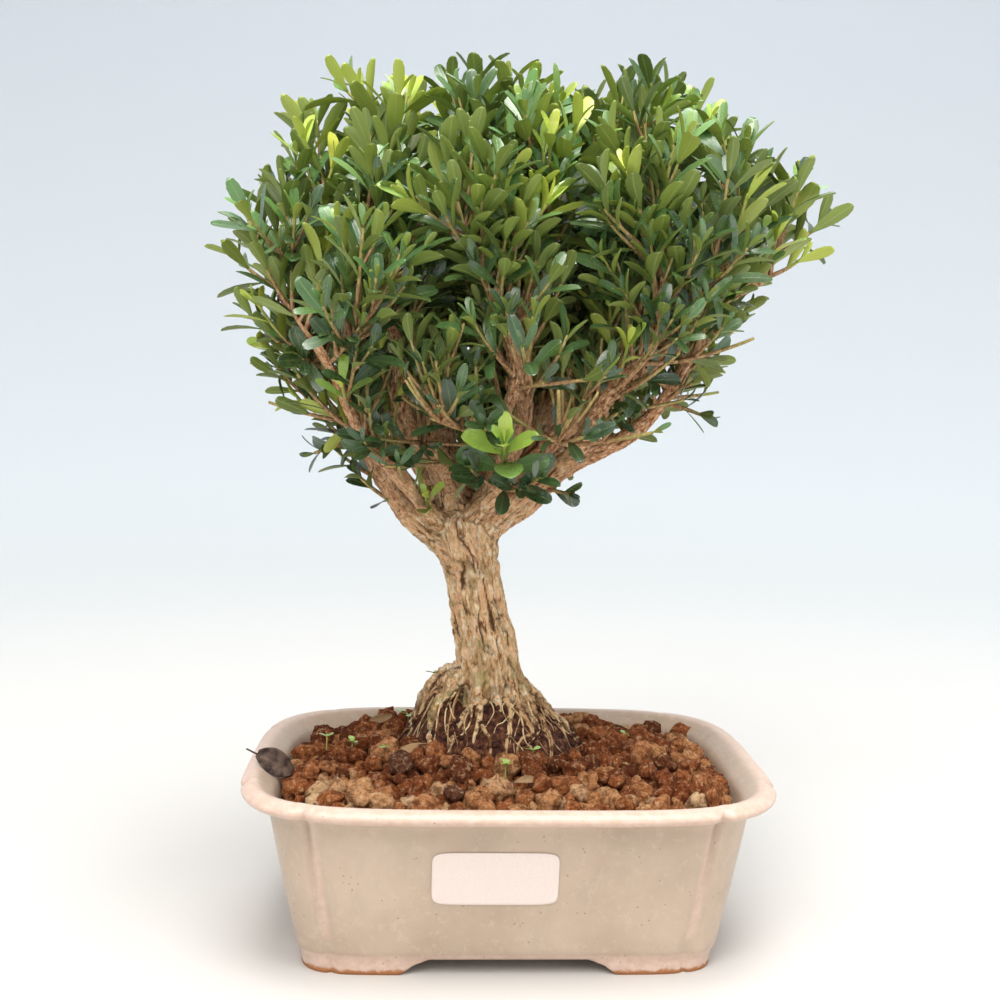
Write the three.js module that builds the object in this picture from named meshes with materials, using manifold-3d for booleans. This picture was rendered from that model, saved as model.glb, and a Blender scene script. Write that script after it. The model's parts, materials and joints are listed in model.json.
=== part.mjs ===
// Harland boxwood bonsai in its glazed pot, in millimetres, +Z up, standing on z = 0.
// Pot, drain screens, root ball, gravel, the tree's wood in one piece, its leafy sprays, and a blank label.
import * as THREE from "three";
import { mergeVertices } from "three/addons/utils/BufferGeometryUtils.js";
import Module from "manifold-3d";

const wasm = await Module();
wasm.setup();

// Driving dimensions. Everything below is placed from the pot's centre on the ground.
const RIM_WIDTH = 202;
const RIM_DEPTH = 153;
const POT_HEIGHT = 67.6;
const FOOT_HEIGHT = 5.8;
const CLEARANCE = 0.3;

// Pot: each row is a height, how far its outline lies inside the rim's, how square that outline is (the
// power of a squared ellipse), and how deep the corner grooves cut.
const HALF_WIDTH = RIM_WIDTH / 2;
const HALF_DEPTH = RIM_DEPTH / 2;
const FLOOR_TOP = 12;
const FILL_EDGE = 62;
const POT_OUTSIDE = [
  { z: 0, inset: 24.2, square: 8.5, groove: 0.8 },
  { z: 6.6, inset: 23.4, square: 8.5, groove: 0.8 },
  { z: 7.8, inset: 22.0, square: 8.5, groove: 1.0 },
  { z: 10.8, inset: 21.4, square: 8, groove: 1.6 },
  { z: 58.5, inset: 11.4, square: 5.6, groove: 1.9 },
  { z: 61.4, inset: 9.2, square: 5.2, groove: 1.6 },
  { z: 62.2, inset: 2.4, square: 4.4, groove: 1.9 },
  { z: 65.0, inset: 0, square: 4.3, groove: 2.0 },
  { z: POT_HEIGHT, inset: 3.2, square: 4.3, groove: 1.2 },
];
const POT_INSIDE = [
  { z: POT_HEIGHT, inset: 6.6, square: 4.4, groove: 0.4 },
  { z: FILL_EDGE, inset: 13.2, square: 5, groove: 0 },
  { z: FLOOR_TOP, inset: 27.5, square: 6, groove: 0 },
];
const GROOVE_X = { low: 64, high: 73.5 };
const GROOVE_Y = { low: 29, high: 38 };
const GROOVE_HALF_WIDTH = 2.5;
const RECESS = { halfWidth: HALF_WIDTH - 36, halfDepth: HALF_DEPTH - 36, square: 4, sides: 28 };
const ARCH_FRONT = { foot: 43, top: 27 };
const ARCH_SIDE = { foot: 26, top: 14 };
const DRAIN_HOLE = { radius: 8, x: 38 };
const DRAIN_SCREEN = { side: 26, thickness: 1, bars: 3, bar: 2.6 };
const LABEL = { width: 45, height: 20.5, x: -6, z: 39.4, thickness: 0.4, columns: 6, corner: 2 };

// Soil: the gravel lies level with the pot's inner edge and rises to the root ball under the trunk.
const TRUNK_FOOT = { x: -8, y: 14 };
const SOIL_RISE = 4.5;
const SOIL_SWELL = 1.5;
const MOUND = { x: -5, y: 13, halfWidth: 38, halfDepth: 31, sides: 18, lumps: 1.6 };
const MOUND_STEPS = [{ share: 0.86, z: 73 }, { share: 0.5, z: 83 }];
const ROOT_BALL_BELOW = { bottom: 20, waist: 40, halfWidth: 45, halfDepth: 35, taper: 6 };
const STONES = { around: 28, rows: 4, height: 3.6, sway: 0.11, drift: 0.09, valley: 2.6 };

// Wood: the trunk's centre line and radii, then each bough as its radius at its root, its radius at its end,
// and points from the one to the other.
const TRUNK_RINGS = [
  { x: -6.5, y: 12, z: 57, r: 13 },
  { x: -6, y: 12, z: 74, r: 16 },
  { x: -5.4, y: 12, z: 82, r: 14.4 },
  { x: -5.8, y: 12, z: 91, r: 13 },
  { x: -7, y: 11.5, z: 102, r: 12.4 },
  { x: -9, y: 11, z: 115, r: 11.6 },
  { x: -12, y: 10, z: 128, r: 10.8 },
  { x: -14.5, y: 9, z: 140, r: 11 },
  { x: -17, y: 8, z: 150, r: 12.6 },
  { x: -18.5, y: 8, z: 159, r: 13.6 },
  { x: -19, y: 8, z: 168, r: 10.5 },
];
const TRUNK_SIDES = 18;
const TRUNK_RIBS = { fine: 0.075, broad: 0.05, flare: 0.1, flareTop: 95, drift: 0.012 };
const BOUGHS = [
  [6.6, 1.8, [-20, 7, 148], [-37, 4, 159], [-48, 0, 177], [-60, -4, 200], [-76, -8, 224], [-90, -8, 250]],
  [5.8, 1.7, [-20, 6, 158], [-29, -4, 182], [-40, -14, 200], [-43, -24, 222], [-51, -32, 246],
    [-55, -42, 272]],
  [8.4, 1.9, [-18, 8, 158], [-26, 14, 186], [-28, 20, 206], [-35, 24, 232], [-34, 26, 258], [-44, 24, 290]],
  [5.6, 1.7, [-12, 6, 160], [-5, -8, 182], [4, -18, 206], [-1, -26, 230], [2, -32, 252], [8, -38, 280]],
  [8.0, 1.9, [-12, 8, 158], [4, 12, 182], [18, 18, 208], [32, 22, 228], [43, 26, 250], [46, 28, 286]],
  [5.0, 1.7, [-8, 6, 164], [13, -6, 192], [30, -14, 206], [50, -20, 221], [70, -26, 243], [94, -22, 256]],
  [6.8, 1.8, [-12, 8, 157], [4, 6, 166], [24, 4, 183], [44, 2, 194], [62, -2, 214], [76, -2, 236]],
  [5.2, 1.7, [-20, 10, 156], [-36, 26, 178], [-48, 40, 198], [-66, 46, 222], [-74, 50, 250]],
  [5.4, 1.7, [-14, 12, 160], [-10, 32, 182], [0, 46, 206], [-2, 56, 236], [4, 56, 268]],
  [5.0, 1.7, [-10, 10, 160], [16, 28, 182], [38, 44, 206], [62, 48, 226], [78, 52, 252]],
  [4.4, 1.6, [-14, 2, 160], [-6, -20, 176], [-6, -42, 194], [-2, -54, 216], [-12, -58, 244]],
  [4.4, 1.6, [-8, 4, 160], [16, -24, 184], [30, -44, 206], [46, -52, 230], [46, -58, 260]],
  [4.2, 1.6, [-22, 6, 154], [-44, -18, 178], [-58, -38, 200], [-74, -44, 228]],
  [4.0, 1.6, [-10, 8, 164], [-2, 4, 196], [-12, -2, 232], [-16, -4, 266], [-20, -4, 304]],
].map(([thick, thin, ...path]) => ({ thick, thin, path }));
const BOUGH_CROOK = 1.6;
const BOUGH_SIDES = 6;
const BOUGH_STEPS = 5;

// Surface roots: the bearing that each leaves the trunk on, its reach and thickness, and how late it droops.
const ROOTS = [
  { bearing: 188, reach: 31, thick: 4.8, droop: 3 },
  { bearing: 222, reach: 33, thick: 4.2, droop: 1.5 },
  { bearing: 252, reach: 33, thick: 3.4, droop: 1 },
  { bearing: 292, reach: 33, thick: 3.2, droop: 1 },
  { bearing: 328, reach: 35, thick: 3.6, droop: 1 },
  { bearing: 2, reach: 37, thick: 3.8, droop: 1.1 },
  { bearing: 56, reach: 35, thick: 3.6, droop: 1 },
  { bearing: 118, reach: 33, thick: 3.8, droop: 1 },
];
const ROOT_START = { out: 8, z: 98 };
const ROOT_END = { z: 70, thick: 1.2 };
const ROOT_SWING = 0.16;
const ROOT_SQUASH = 0.86;
const ROOT_SIDES = 5;

// Crown: its outline seen from the front, as the distance from its centre every 30 degrees, and its depth.
const CROWN_CENTRE = new THREE.Vector3(4, 0, 236);
const CROWN_RADII = [90, 119, 112, 99, 108, 116, 105, 86, 74, 60, 60, 68];
const CROWN_HALF_DEPTH = 92;
const SPRAY_TURNS = 53;
const CROWN_SEED = 11;
const LONGEST_SHOOT = 66;
const LEAF = { length: 24, halfWidth: 4.6, keel: 1 };
const TWIG = { foot: 1.7, end: 1.1, sideEnd: 1, node: 2.4 };

// A seeded draw of numbers from 0 to 1 (the mulberry32 generator).
function seeded(seed) {
  let state = seed >>> 0;
  return () => {
    state = (state + 0x6d2b79f5) >>> 0;
    let t = state;
    t = Math.imul(t ^ (t >>> 15), t | 1);
    t ^= t + Math.imul(t ^ (t >>> 7), t | 61);
    return ((t ^ (t >>> 14)) >>> 0) / 4294967296;
  };
}

const lerp = (a, b, t) => a + (b - a) * t;
const vec = (x, y, z) => new THREE.Vector3(x, y, z);
const UP = vec(0, 0, 1);

// A closed skin over rings of equally many points, with each end closed to its ring's centre.
function loft(rings) {
  const sides = rings[0].length;
  const points = rings.flat();
  const faces = [];
  for (let i = 0; i < rings.length - 1; i++)
    for (let j = 0; j < sides; j++) {
      const [here, next] = [i * sides + j, i * sides + ((j + 1) % sides)];
      faces.push(here, next, next + sides, here, next + sides, here + sides);
    }
  for (const end of [0, rings.length - 1]) {
    points.push(rings[end].reduce((sum, p) => sum.add(p), vec(0, 0, 0)).divideScalar(sides));
    for (let j = 0; j < sides; j++) {
      const [here, next] = [end * sides + j, end * sides + ((j + 1) % sides)];
      faces.push(...(end === 0 ? [next, here] : [here, next]), points.length - 1);
    }
  }
  return new THREE.BufferGeometry().setFromPoints(points).setIndex(faces);
}

// A three.js geometry as a solid to join and cut, and back again.
function solid(geometry) {
  const bare = geometry.clone();
  bare.deleteAttribute("normal");
  bare.deleteAttribute("uv");
  const merged = mergeVertices(bare, 1e-4);
  const vertProperties = new Float32Array(merged.getAttribute("position").array);
  const triVerts = new Uint32Array(merged.index.array);
  return new wasm.Manifold(new wasm.Mesh({ numProp: 3, vertProperties, triVerts }));
}
function geometryOf(made) {
  const { vertProperties, triVerts } = made.getMesh();
  const geometry = new THREE.BufferGeometry();
  geometry.setAttribute("position", new THREE.BufferAttribute(new Float32Array(vertProperties), 3));
  geometry.setIndex(new THREE.BufferAttribute(new Uint32Array(triVerts), 1));
  geometry.computeVertexNormals();
  return geometry;
}
const largest = (made) => made.decompose().reduce((a, b) => (b.volume() > a.volume() ? b : a));
const joined = (solids) => solids.reduce((a, b) => a.add(b));

const MATERIALS = {
  glaze: { color: 0xd2c3b0, roughness: 0.45 },
  screen: { color: 0x2a3a2c, roughness: 0.6 },
  compost: { color: 0x3a241b, roughness: 1 },
  gravel: { color: 0x8a5230, roughness: 0.95 },
  bark: { color: 0xa98560, roughness: 0.9 },
  leaf: { color: 0x33602a, roughness: 0.4 },
  paper: { color: 0xf4efec, roughness: 0.6 },
};
const FRESH_LEAF = new THREE.Color(0x86b23a);
const bonsai = new THREE.Group();
const planted = new THREE.Group();
bonsai.add(planted);
function place(name, made, look) {
  const material = new THREE.MeshStandardMaterial({ metalness: 0, ...MATERIALS[look] });
  const mesh = new THREE.Mesh(geometryOf(made), material);
  mesh.name = name;
  planted.add(mesh);
  return mesh;
}

// Pot plan: a squared ellipse with a groove on each side of every corner, listed anticlockwise.
function potRing({ z, inset, square, groove }) {
  const a = HALF_WIDTH - inset;
  const b = HALF_DEPTH - inset;
  const share = z / POT_HEIGHT;
  const gx = Math.min(lerp(GROOVE_X.low, GROOVE_X.high, share), a * 0.9);
  const gy = Math.min(lerp(GROOVE_Y.low, GROOVE_Y.high, share), b * 0.68);
  const n = square;
  const atX = (x, cut = 0) => [x, b * (1 - (x / a) ** n) ** (1 / n) - cut];
  const atY = (y, cut = 0) => [a * (1 - (y / b) ** n) ** (1 / n) - cut, y];
  const w = GROOVE_HALF_WIDTH;
  const lobe = [0.2, 0.4, 0.6, 0.8].map((t) => {
    const from = atX(gx + w);
    const to = atY(gy + w);
    const angle = lerp(Math.atan2(from[1] / b, from[0] / a), Math.atan2(to[1] / b, to[0] / a), t);
    const reach = (Math.abs(Math.cos(angle)) ** n + Math.abs(Math.sin(angle)) ** n) ** (-1 / n);
    return [a * reach * Math.cos(angle), b * reach * Math.sin(angle)];
  });
  const quarter = [
    atX(0), atX(gx * 0.55), atX(gx - w), atX(gx, groove), atX(gx + w), ...lobe,
    atY(gy + w), atY(gy, groove), atY(gy - w), atY(gy * 0.45), atY(0),
  ];
  const flipX = (points) => points.map(([x, y]) => [-x, y]).reverse();
  const flipY = (points) => points.map(([x, y]) => [x, -y]).reverse();
  const right = [...quarter, ...flipY(quarter).slice(1)];
  const around = [...right, ...flipX(right).slice(1, -1)];
  return around.reverse().map(([x, y]) => vec(x, y, z));
}

// A plain squared ellipse with evenly turned points, for what has no grooves.
function plainRing({ halfWidth, halfDepth, square, sides }, z) {
  return Array.from({ length: sides }, (_, i) => {
    const angle = (2 * Math.PI * (i + 0.5)) / sides;
    const [c, s] = [Math.cos(angle), Math.sin(angle)];
    const reach = (Math.abs(c) ** square + Math.abs(s) ** square) ** (-1 / square);
    return vec(halfWidth * reach * c, halfDepth * reach * s, z);
  });
}

// A point on the pot's outside wall at x and z on its front face, pushed out by a gap.
function frontWall(x, z, gap) {
  const wall = POT_OUTSIDE.find((ring) => ring.z > z);
  const below = POT_OUTSIDE[POT_OUTSIDE.indexOf(wall) - 1];
  const share = (z - below.z) / (wall.z - below.z);
  const [inset, n] = [lerp(below.inset, wall.inset, share), lerp(below.square, wall.square, share)];
  const [a, b] = [HALF_WIDTH - inset, HALF_DEPTH - inset];
  return vec(x, -(b * (1 - Math.abs(x / a) ** n) ** (1 / n)) - gap, z);
}

function makePot() {
  const shell = solid(loft([...POT_OUTSIDE, ...POT_INSIDE].map((ring) => potRing(ring))));
  // Under the floor the foot ring is hollow, and a cloud-shaped arch on each side leaves four corner feet.
  const recess = solid(loft([-1, FOOT_HEIGHT].map((z) => plainRing(RECESS, z))));
  const arch = ({ foot, top }, length) => {
    const ankle = { x: lerp(foot, top, 0.45), z: 1.2 };
    const waist = { x: lerp(foot, top, 0.5), z: FOOT_HEIGHT * 0.55 };
    const knee = { x: lerp(foot, top, 0.6), z: FOOT_HEIGHT * 0.95 };
    const shape = new THREE.Shape();
    shape.moveTo(-foot, -1);
    shape.lineTo(-foot, 0.2);
    shape.quadraticCurveTo(-ankle.x, ankle.z, -waist.x, waist.z);
    shape.quadraticCurveTo(-knee.x, knee.z, -top, FOOT_HEIGHT);
    shape.lineTo(top, FOOT_HEIGHT);
    shape.quadraticCurveTo(knee.x, knee.z, waist.x, waist.z);
    shape.quadraticCurveTo(ankle.x, ankle.z, foot, 0.2);
    shape.lineTo(foot, -1);
    const cut = new THREE.ExtrudeGeometry(shape, { depth: length, bevelEnabled: false, curveSegments: 2 });
    return cut.translate(0, 0, -length / 2).rotateX(Math.PI / 2);
  };
  const frontArch = solid(arch(ARCH_FRONT, RIM_DEPTH));
  const sideArch = solid(arch(ARCH_SIDE, RIM_WIDTH).rotateZ(Math.PI / 2));
  const cuts = [recess, frontArch, sideArch];
  for (const side of [-1, 1]) {
    const hole = new THREE.CylinderGeometry(DRAIN_HOLE.radius, DRAIN_HOLE.radius, 20, 12);
    cuts.push(solid(hole.rotateX(Math.PI / 2).translate(side * DRAIN_HOLE.x, 0, FLOOR_TOP)));
  }
  return cuts.reduce((pot, cut) => pot.subtract(cut), shell);
}

// A plastic screen over each drain hole: a square sheet with a grid of square holes.
function makeScreen(side) {
  const { side: size, thickness, bars, bar } = DRAIN_SCREEN;
  const z = FLOOR_TOP + CLEARANCE + thickness / 2;
  let screen = solid(new THREE.BoxGeometry(size, size, thickness).translate(side * DRAIN_HOLE.x, 0, z));
  const pitch = (size - bar) / (bars - 1);
  for (let i = 0; i < bars - 1; i++)
    for (let j = 0; j < bars - 1; j++) {
      const x = side * DRAIN_HOLE.x + (i - (bars - 2) / 2) * pitch;
      const y = (j - (bars - 2) / 2) * pitch;
      screen = screen.subtract(solid(new THREE.BoxGeometry(pitch - bar, pitch - bar, 4).translate(x, y, z)));
    }
  return screen;
}

// A blank paper label stuck to the pot's front, bent to its face.
function makeLabel() {
  const { columns, corner } = LABEL;
  const rings = [];
  for (let i = 0; i <= columns; i++) {
    const x = LABEL.x + LABEL.width * (i / columns - 0.5);
    const trim = i === 0 || i === columns ? corner : 0;
    const low = LABEL.z - LABEL.height / 2 + trim;
    const high = LABEL.z + LABEL.height / 2 - trim;
    rings.push([
      frontWall(x, low, CLEARANCE), frontWall(x, high, CLEARANCE),
      frontWall(x, high, CLEARANCE + LABEL.thickness), frontWall(x, low, CLEARANCE + LABEL.thickness),
    ]);
  }
  return solid(loft(rings));
}

// The soil's height at x, y: level at the pot's edge, rising a little towards the mound.
function soilHeight(x, y) {
  const toEdge = Math.min(1, Math.hypot(x / (HALF_WIDTH - 16), y / (HALF_DEPTH - 16)));
  const toMound = Math.hypot((x - MOUND.x) / MOUND.halfWidth, (y - MOUND.y) / MOUND.halfDepth);
  return FILL_EDGE + SOIL_RISE * (1 - toEdge ** 3) + SOIL_SWELL * Math.exp(-((toMound - 1) ** 2) * 2);
}
function oval(halfWidth, halfDepth, height) {
  return Array.from({ length: MOUND.sides }, (_, i) => {
    const angle = (2 * Math.PI * i) / MOUND.sides;
    const x = MOUND.x + halfWidth * Math.cos(angle);
    const y = MOUND.y + halfDepth * Math.sin(angle);
    return vec(x, y, height(x, y));
  });
}

// Root ball: compost, standing on a drainage layer of gravel, up to the mound that the trunk stands on.
function makeRootBall(wood) {
  const { halfWidth, halfDepth, taper, bottom, waist } = ROOT_BALL_BELOW;
  const random = seeded(5);
  const rough = () => (random() - 0.5) * MOUND.lumps;
  const rings = [
    oval(halfWidth - taper, halfDepth - taper, () => bottom),
    oval(halfWidth, halfDepth, () => waist),
    oval(MOUND.halfWidth, MOUND.halfDepth, (x, y) => soilHeight(x, y) - 1),
    ...MOUND_STEPS.map(({ share, z }) =>
      oval(MOUND.halfWidth * share, MOUND.halfDepth * share, () => z + rough())),
  ];
  return largest(solid(loft(rings)).subtract(wood));
}

// Where the pot's inside wall stands at height z in a direction from its centre, kept clear by a gap.
function wallAt(z, angle, gap) {
  const [upper, lower] = [potRing(POT_INSIDE[1]), potRing(POT_INSIDE[2])];
  const ring = lower.map((p, i) => p.clone().lerp(upper[i], (z - FLOOR_TOP) / (FILL_EDGE - FLOOR_TOP)));
  const [c, s] = [Math.cos(angle), Math.sin(angle)];
  for (let i = 0; i < ring.length; i++) {
    const [p, q] = [ring[i], ring[(i + 1) % ring.length]];
    const [sideP, sideQ] = [c * p.y - s * p.x, c * q.y - s * q.x];
    if (sideP > 0 || sideQ < 0 || c * p.x + s * p.y < 0) continue;
    const at = p.clone().lerp(q, sideP / (sideP - sideQ));
    const reach = Math.hypot(at.x, at.y) - gap;
    return [c * reach, s * reach];
  }
  throw new Error("no wall in that direction");
}

// Gravel: fills the pot round the root ball. Its top is paved with stones larger than life, one to each cell
// between the root ball and the pot's wall.
function makeGravel() {
  const { around, rows, height, sway, drift, valley } = STONES;
  const random = seeded(3);
  const wall = (z) => (angle) => wallAt(z, angle, 2 * CLEARANCE);
  const core = (halfWidth, halfDepth) => (angle) => [
    MOUND.x + (halfWidth + 2.5 * CLEARANCE) * Math.cos(angle),
    MOUND.y + (halfDepth + 2.5 * CLEARANCE) * Math.sin(angle),
  ];
  const points = [];
  const faces = [];
  const add = (x, y, z) => points.push(vec(x, y, z)) - 1;
  const angles = Array.from({ length: around }, (_, i) => (2 * Math.PI * i) / around);
  const level = (outline, z) => angles.map((angle) => add(...outline(angle), z));
  const band = (low, high) => {
    for (let i = 0; i < around; i++) {
      const next = (i + 1) % around;
      if (low[i] !== low[next]) faces.push(low[i], low[next], high[next]);
      if (high[i] !== high[next]) faces.push(low[i], high[next], high[i]);
    }
  };
  const outer = wall(FILL_EDGE - 2);
  const inner = core(MOUND.halfWidth, MOUND.halfDepth);
  // Valley points between the stones, from the pot's wall inwards.
  const valleys = Array.from({ length: rows + 1 }, (_, row) => angles.map((angle) => {
    const free = row > 0 && row < rows;
    const swing = free ? (random() - 0.5) * sway : 0;
    const share = row / rows + (free ? (random() - 0.5) * drift : 0);
    const [x0, y0] = outer(angle + swing);
    const [x1, y1] = inner(angle + swing);
    const [x, y] = [lerp(x0, x1, share), lerp(y0, y1, share)];
    return add(x, y, row === 0 ? FILL_EDGE - 2 : soilHeight(x, y) - valley);
  }));
  for (let row = 0; row < rows; row++)
    for (let i = 0; i < around; i++) {
      const next = (i + 1) % around;
      const cell = [valleys[row][i], valleys[row][next], valleys[row + 1][next], valleys[row + 1][i]];
      const middle = cell.reduce((sum, c) => sum.add(points[c]), vec(0, 0, 0)).divideScalar(4);
      const rise = height * (0.7 + 0.6 * random());
      const crown = cell.map((c) => {
        const p = middle.clone().lerp(points[c], 0.46 + 0.22 * random());
        return add(p.x, p.y, p.z + rise * (0.8 + 0.4 * random()));
      });
      for (let k = 0; k < 4; k++) {
        const [a, b] = [cell[k], cell[(k + 1) % 4]];
        const [c, d] = [crown[(k + 1) % 4], crown[k]];
        faces.push(a, b, c, a, c, d);
      }
      faces.push(crown[0], crown[1], crown[2], crown[0], crown[2], crown[3]);
    }
  const { bottom, waist, halfWidth, halfDepth, taper } = ROOT_BALL_BELOW;
  const outerFoot = level(wall(FLOOR_TOP), FLOOR_TOP + CLEARANCE);
  const cupFoot = level(core(halfWidth - taper, halfDepth - taper), bottom - CLEARANCE);
  const cupWaist = level(core(halfWidth, halfDepth), waist);
  const cupCentre = add(MOUND.x, MOUND.y, bottom - CLEARANCE);
  const footCentre = add(0, 0, FLOOR_TOP + CLEARANCE);
  band(outerFoot, valleys[0]);
  band(valleys[rows], cupWaist);
  band(cupWaist, cupFoot);
  band(cupFoot, angles.map(() => cupCentre));
  band(angles.map(() => footCentre), outerFoot);
  let gravel = solid(new THREE.BufferGeometry().setFromPoints(points).setIndex(faces));
  for (const side of [-1, 1]) {
    const room = DRAIN_SCREEN.side + 2 * CLEARANCE;
    const pocket = new THREE.BoxGeometry(room, room, DRAIN_SCREEN.thickness + 3 * CLEARANCE);
    gravel = gravel.subtract(solid(pocket.translate(side * DRAIN_HOLE.x, 0, FLOOR_TOP + CLEARANCE + 0.6)));
  }
  return gravel;
}

// Rings round a path of points with a radius at each, square to the path.
function pipe(points, radii, sides) {
  const curve = new THREE.CatmullRomCurve3(points, false, "catmullrom", 0.5);
  const frames = curve.computeFrenetFrames(points.length - 1, false);
  return points.map((p, i) => {
    const [x, y] = [frames.normals[i], frames.binormals[i]];
    return Array.from({ length: sides }, (_, j) => {
      const angle = (2 * Math.PI * j) / sides;
      const out = x.clone().multiplyScalar(Math.cos(angle)).addScaledVector(y, Math.sin(angle));
      return p.clone().addScaledVector(out, radii[i]);
    });
  });
}

// Where a bough's axis is at u, from 0 at its root to 1 at its end: a Catmull-Rom curve through its points,
// made crooked by a slow wave.
function boughPoint({ path, thick }, u) {
  const last = path.length - 1;
  const at = Math.min(Math.floor(u * last), last - 1);
  const t = u * last - at;
  const [a, b, c, d] = [at - 1, at, at + 1, at + 2].map((i) => path[Math.max(0, Math.min(last, i))]);
  const blend = (k) => {
    const square = 2 * a[k] - 5 * b[k] + 4 * c[k] - d[k];
    const cube = 3 * b[k] - a[k] - 3 * c[k] + d[k];
    return b[k] + 0.5 * ((c[k] - a[k]) * t + square * t * t + cube * t ** 3);
  };
  const crook = BOUGH_CROOK * Math.min(1, 6 * u * (1 - u));
  const sway = [crook * Math.sin(11 * u + thick), crook * Math.cos(9 * u + 3 * thick)];
  return vec(blend(0) + sway[0], blend(1) + sway[1], blend(2));
}
const boughRadius = (bough, u) => lerp(bough.thick, bough.thin, u ** 0.8);

function boughSolid(bough, grow) {
  const steps = Array.from({ length: BOUGH_STEPS + 1 }, (_, i) => i / BOUGH_STEPS);
  const points = steps.map((u) => boughPoint(bough, u));
  const knot = (i) => 1 + 0.1 * Math.sin(i * 2.4 + bough.thick * 5);
  const radii = steps.map((u, i) => boughRadius(bough, u) * knot(i) + grow);
  return solid(loft(pipe(points, radii, BOUGH_SIDES)));
}

// The trunk's corky ribs run up it, drift round it and deepen towards the foot.
function trunkSolid(grow) {
  const { fine, broad, flare, flareTop, drift } = TRUNK_RIBS;
  const rings = TRUNK_RINGS.map(({ x, y, z, r }) =>
    Array.from({ length: TRUNK_SIDES }, (_, j) => {
      const angle = (2 * Math.PI * j) / TRUNK_SIDES;
      const turn = z * drift;
      const flared = z < flareTop ? flare * Math.cos(4 * angle + 0.8) : 0;
      const rib = fine * Math.cos(10 * angle) + broad * Math.cos(5 * angle + 3 * turn) + flared;
      const reach = r * (1 + rib) + grow;
      return vec(x + reach * Math.cos(angle + turn), y + reach * Math.sin(angle + turn), z);
    }),
  );
  if (grow > 0) rings[0].forEach((p) => (p.z -= grow));
  return solid(loft(rings));
}

function rootSolid({ bearing, reach, thick, droop }, grow) {
  const angle = THREE.MathUtils.degToRad(bearing);
  const steps = [0, 0.25, 0.5, 0.75, 1];
  const points = steps.map((t) => {
    const out = lerp(ROOT_START.out, reach, t);
    const swing = ROOT_SWING * Math.sin(t * 5 + bearing);
    const x = TRUNK_FOOT.x + out * Math.cos(angle + swing);
    const y = TRUNK_FOOT.y + out * ROOT_SQUASH * Math.sin(angle + swing);
    return vec(x, y, lerp(ROOT_START.z, ROOT_END.z, t ** droop));
  });
  const radii = steps.map((t) => lerp(thick, ROOT_END.thick, t) + grow);
  return solid(loft(pipe(points, radii, ROOT_SIDES)));
}

// All the wood in one solid. With grow above 0 it is swollen by that much, to cut its neighbours clear.
function makeWood(grow = 0) {
  return joined([
    trunkSolid(grow),
    ...ROOTS.map((root) => rootSolid(root, grow)),
    ...BOUGHS.map((bough) => boughSolid(bough, grow)),
  ]);
}

// The crown's surface in a direction: angle round the front view, and sink, the sine of the angle backwards.
function crownPoint(angle, sink, reach = 1) {
  const turn = ((angle / 30) % 12 + 12) % 12;
  const at = Math.floor(turn);
  const ease = (1 - Math.cos(Math.PI * (turn - at))) / 2;
  const radius = lerp(CROWN_RADII[at % 12], CROWN_RADII[(at + 1) % 12], ease);
  const flat = radius * (1 - sink * sink) ** 0.4;
  const a = THREE.MathUtils.degToRad(angle);
  const out = vec(flat * Math.cos(a), CROWN_HALF_DEPTH * sink, flat * Math.sin(a));
  return CROWN_CENTRE.clone().addScaledVector(out, reach);
}

// The sprays' tips, spread over the crown by the golden angle, with fewer underneath it.
function sprayTips() {
  const random = seeded(CROWN_SEED);
  const tips = [];
  for (let k = 0; k < SPRAY_TURNS; k++) {
    const sink = (1 - (2 * (k + 0.5)) / SPRAY_TURNS) * 0.97;
    const angle = k * 137.508 + (random() - 0.5) * 10;
    const reach = 0.93 + 0.09 * random();
    const below = -Math.sin(THREE.MathUtils.degToRad(angle)) * Math.sqrt(1 - sink * sink);
    if (below > 0.5 && !(below < 0.8 && k % 2)) continue;
    tips.push(crownPoint(angle, sink, reach));
  }
  return tips;
}

// Places a spray could spring from, the best first: below its tip, near it, and away from feet already used.
function sprayFeet(tip, used) {
  const feet = [];
  for (const bough of BOUGHS)
    for (let i = 8; i <= 24; i++) {
      const at = boughPoint(bough, i / 24);
      const away = at.distanceTo(tip);
      const above = Math.max(0, at.z - tip.z + 0.35 * away);
      const beside = used.reduce((sum, foot) => sum + Math.max(0, 9 - foot.distanceTo(at)), 0);
      feet.push({ at, bough, cost: away + 0.9 * above + 0.25 * Math.max(0, 34 - away) + 5 * beside });
    }
  return feet.sort((a, b) => a.cost - b.cost);
}

// A shoot is a curve that leaves its foot outwards and turns up: a quadratic Bezier through three points.
function shoot(foot, end) {
  const run = end.clone().sub(foot);
  const bend = foot.clone().add(vec(run.x * 0.6, run.y * 0.6, run.z * 0.42));
  const at = (t) => {
    const start = foot.clone().multiplyScalar((1 - t) ** 2);
    return start.addScaledVector(bend, 2 * t * (1 - t)).addScaledVector(end, t * t);
  };
  const along = (t) =>
    bend.clone().sub(foot).multiplyScalar(1 - t).addScaledVector(end.clone().sub(bend), t).normalize();
  return { at, along, length: run.length() };
}

// A square across a stem: its centre, the way the stem runs there, and two directions along its sides.
function squareOn(at, way, near, r) {
  const u = near.clone().addScaledVector(way, -near.dot(way)).normalize();
  return { at, way, u, v: vec(0, 0, 0).crossVectors(way, u), r };
}
const outwards = ({ u, v }) => [v.clone().negate(), u, v, u.clone().negate()];

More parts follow.
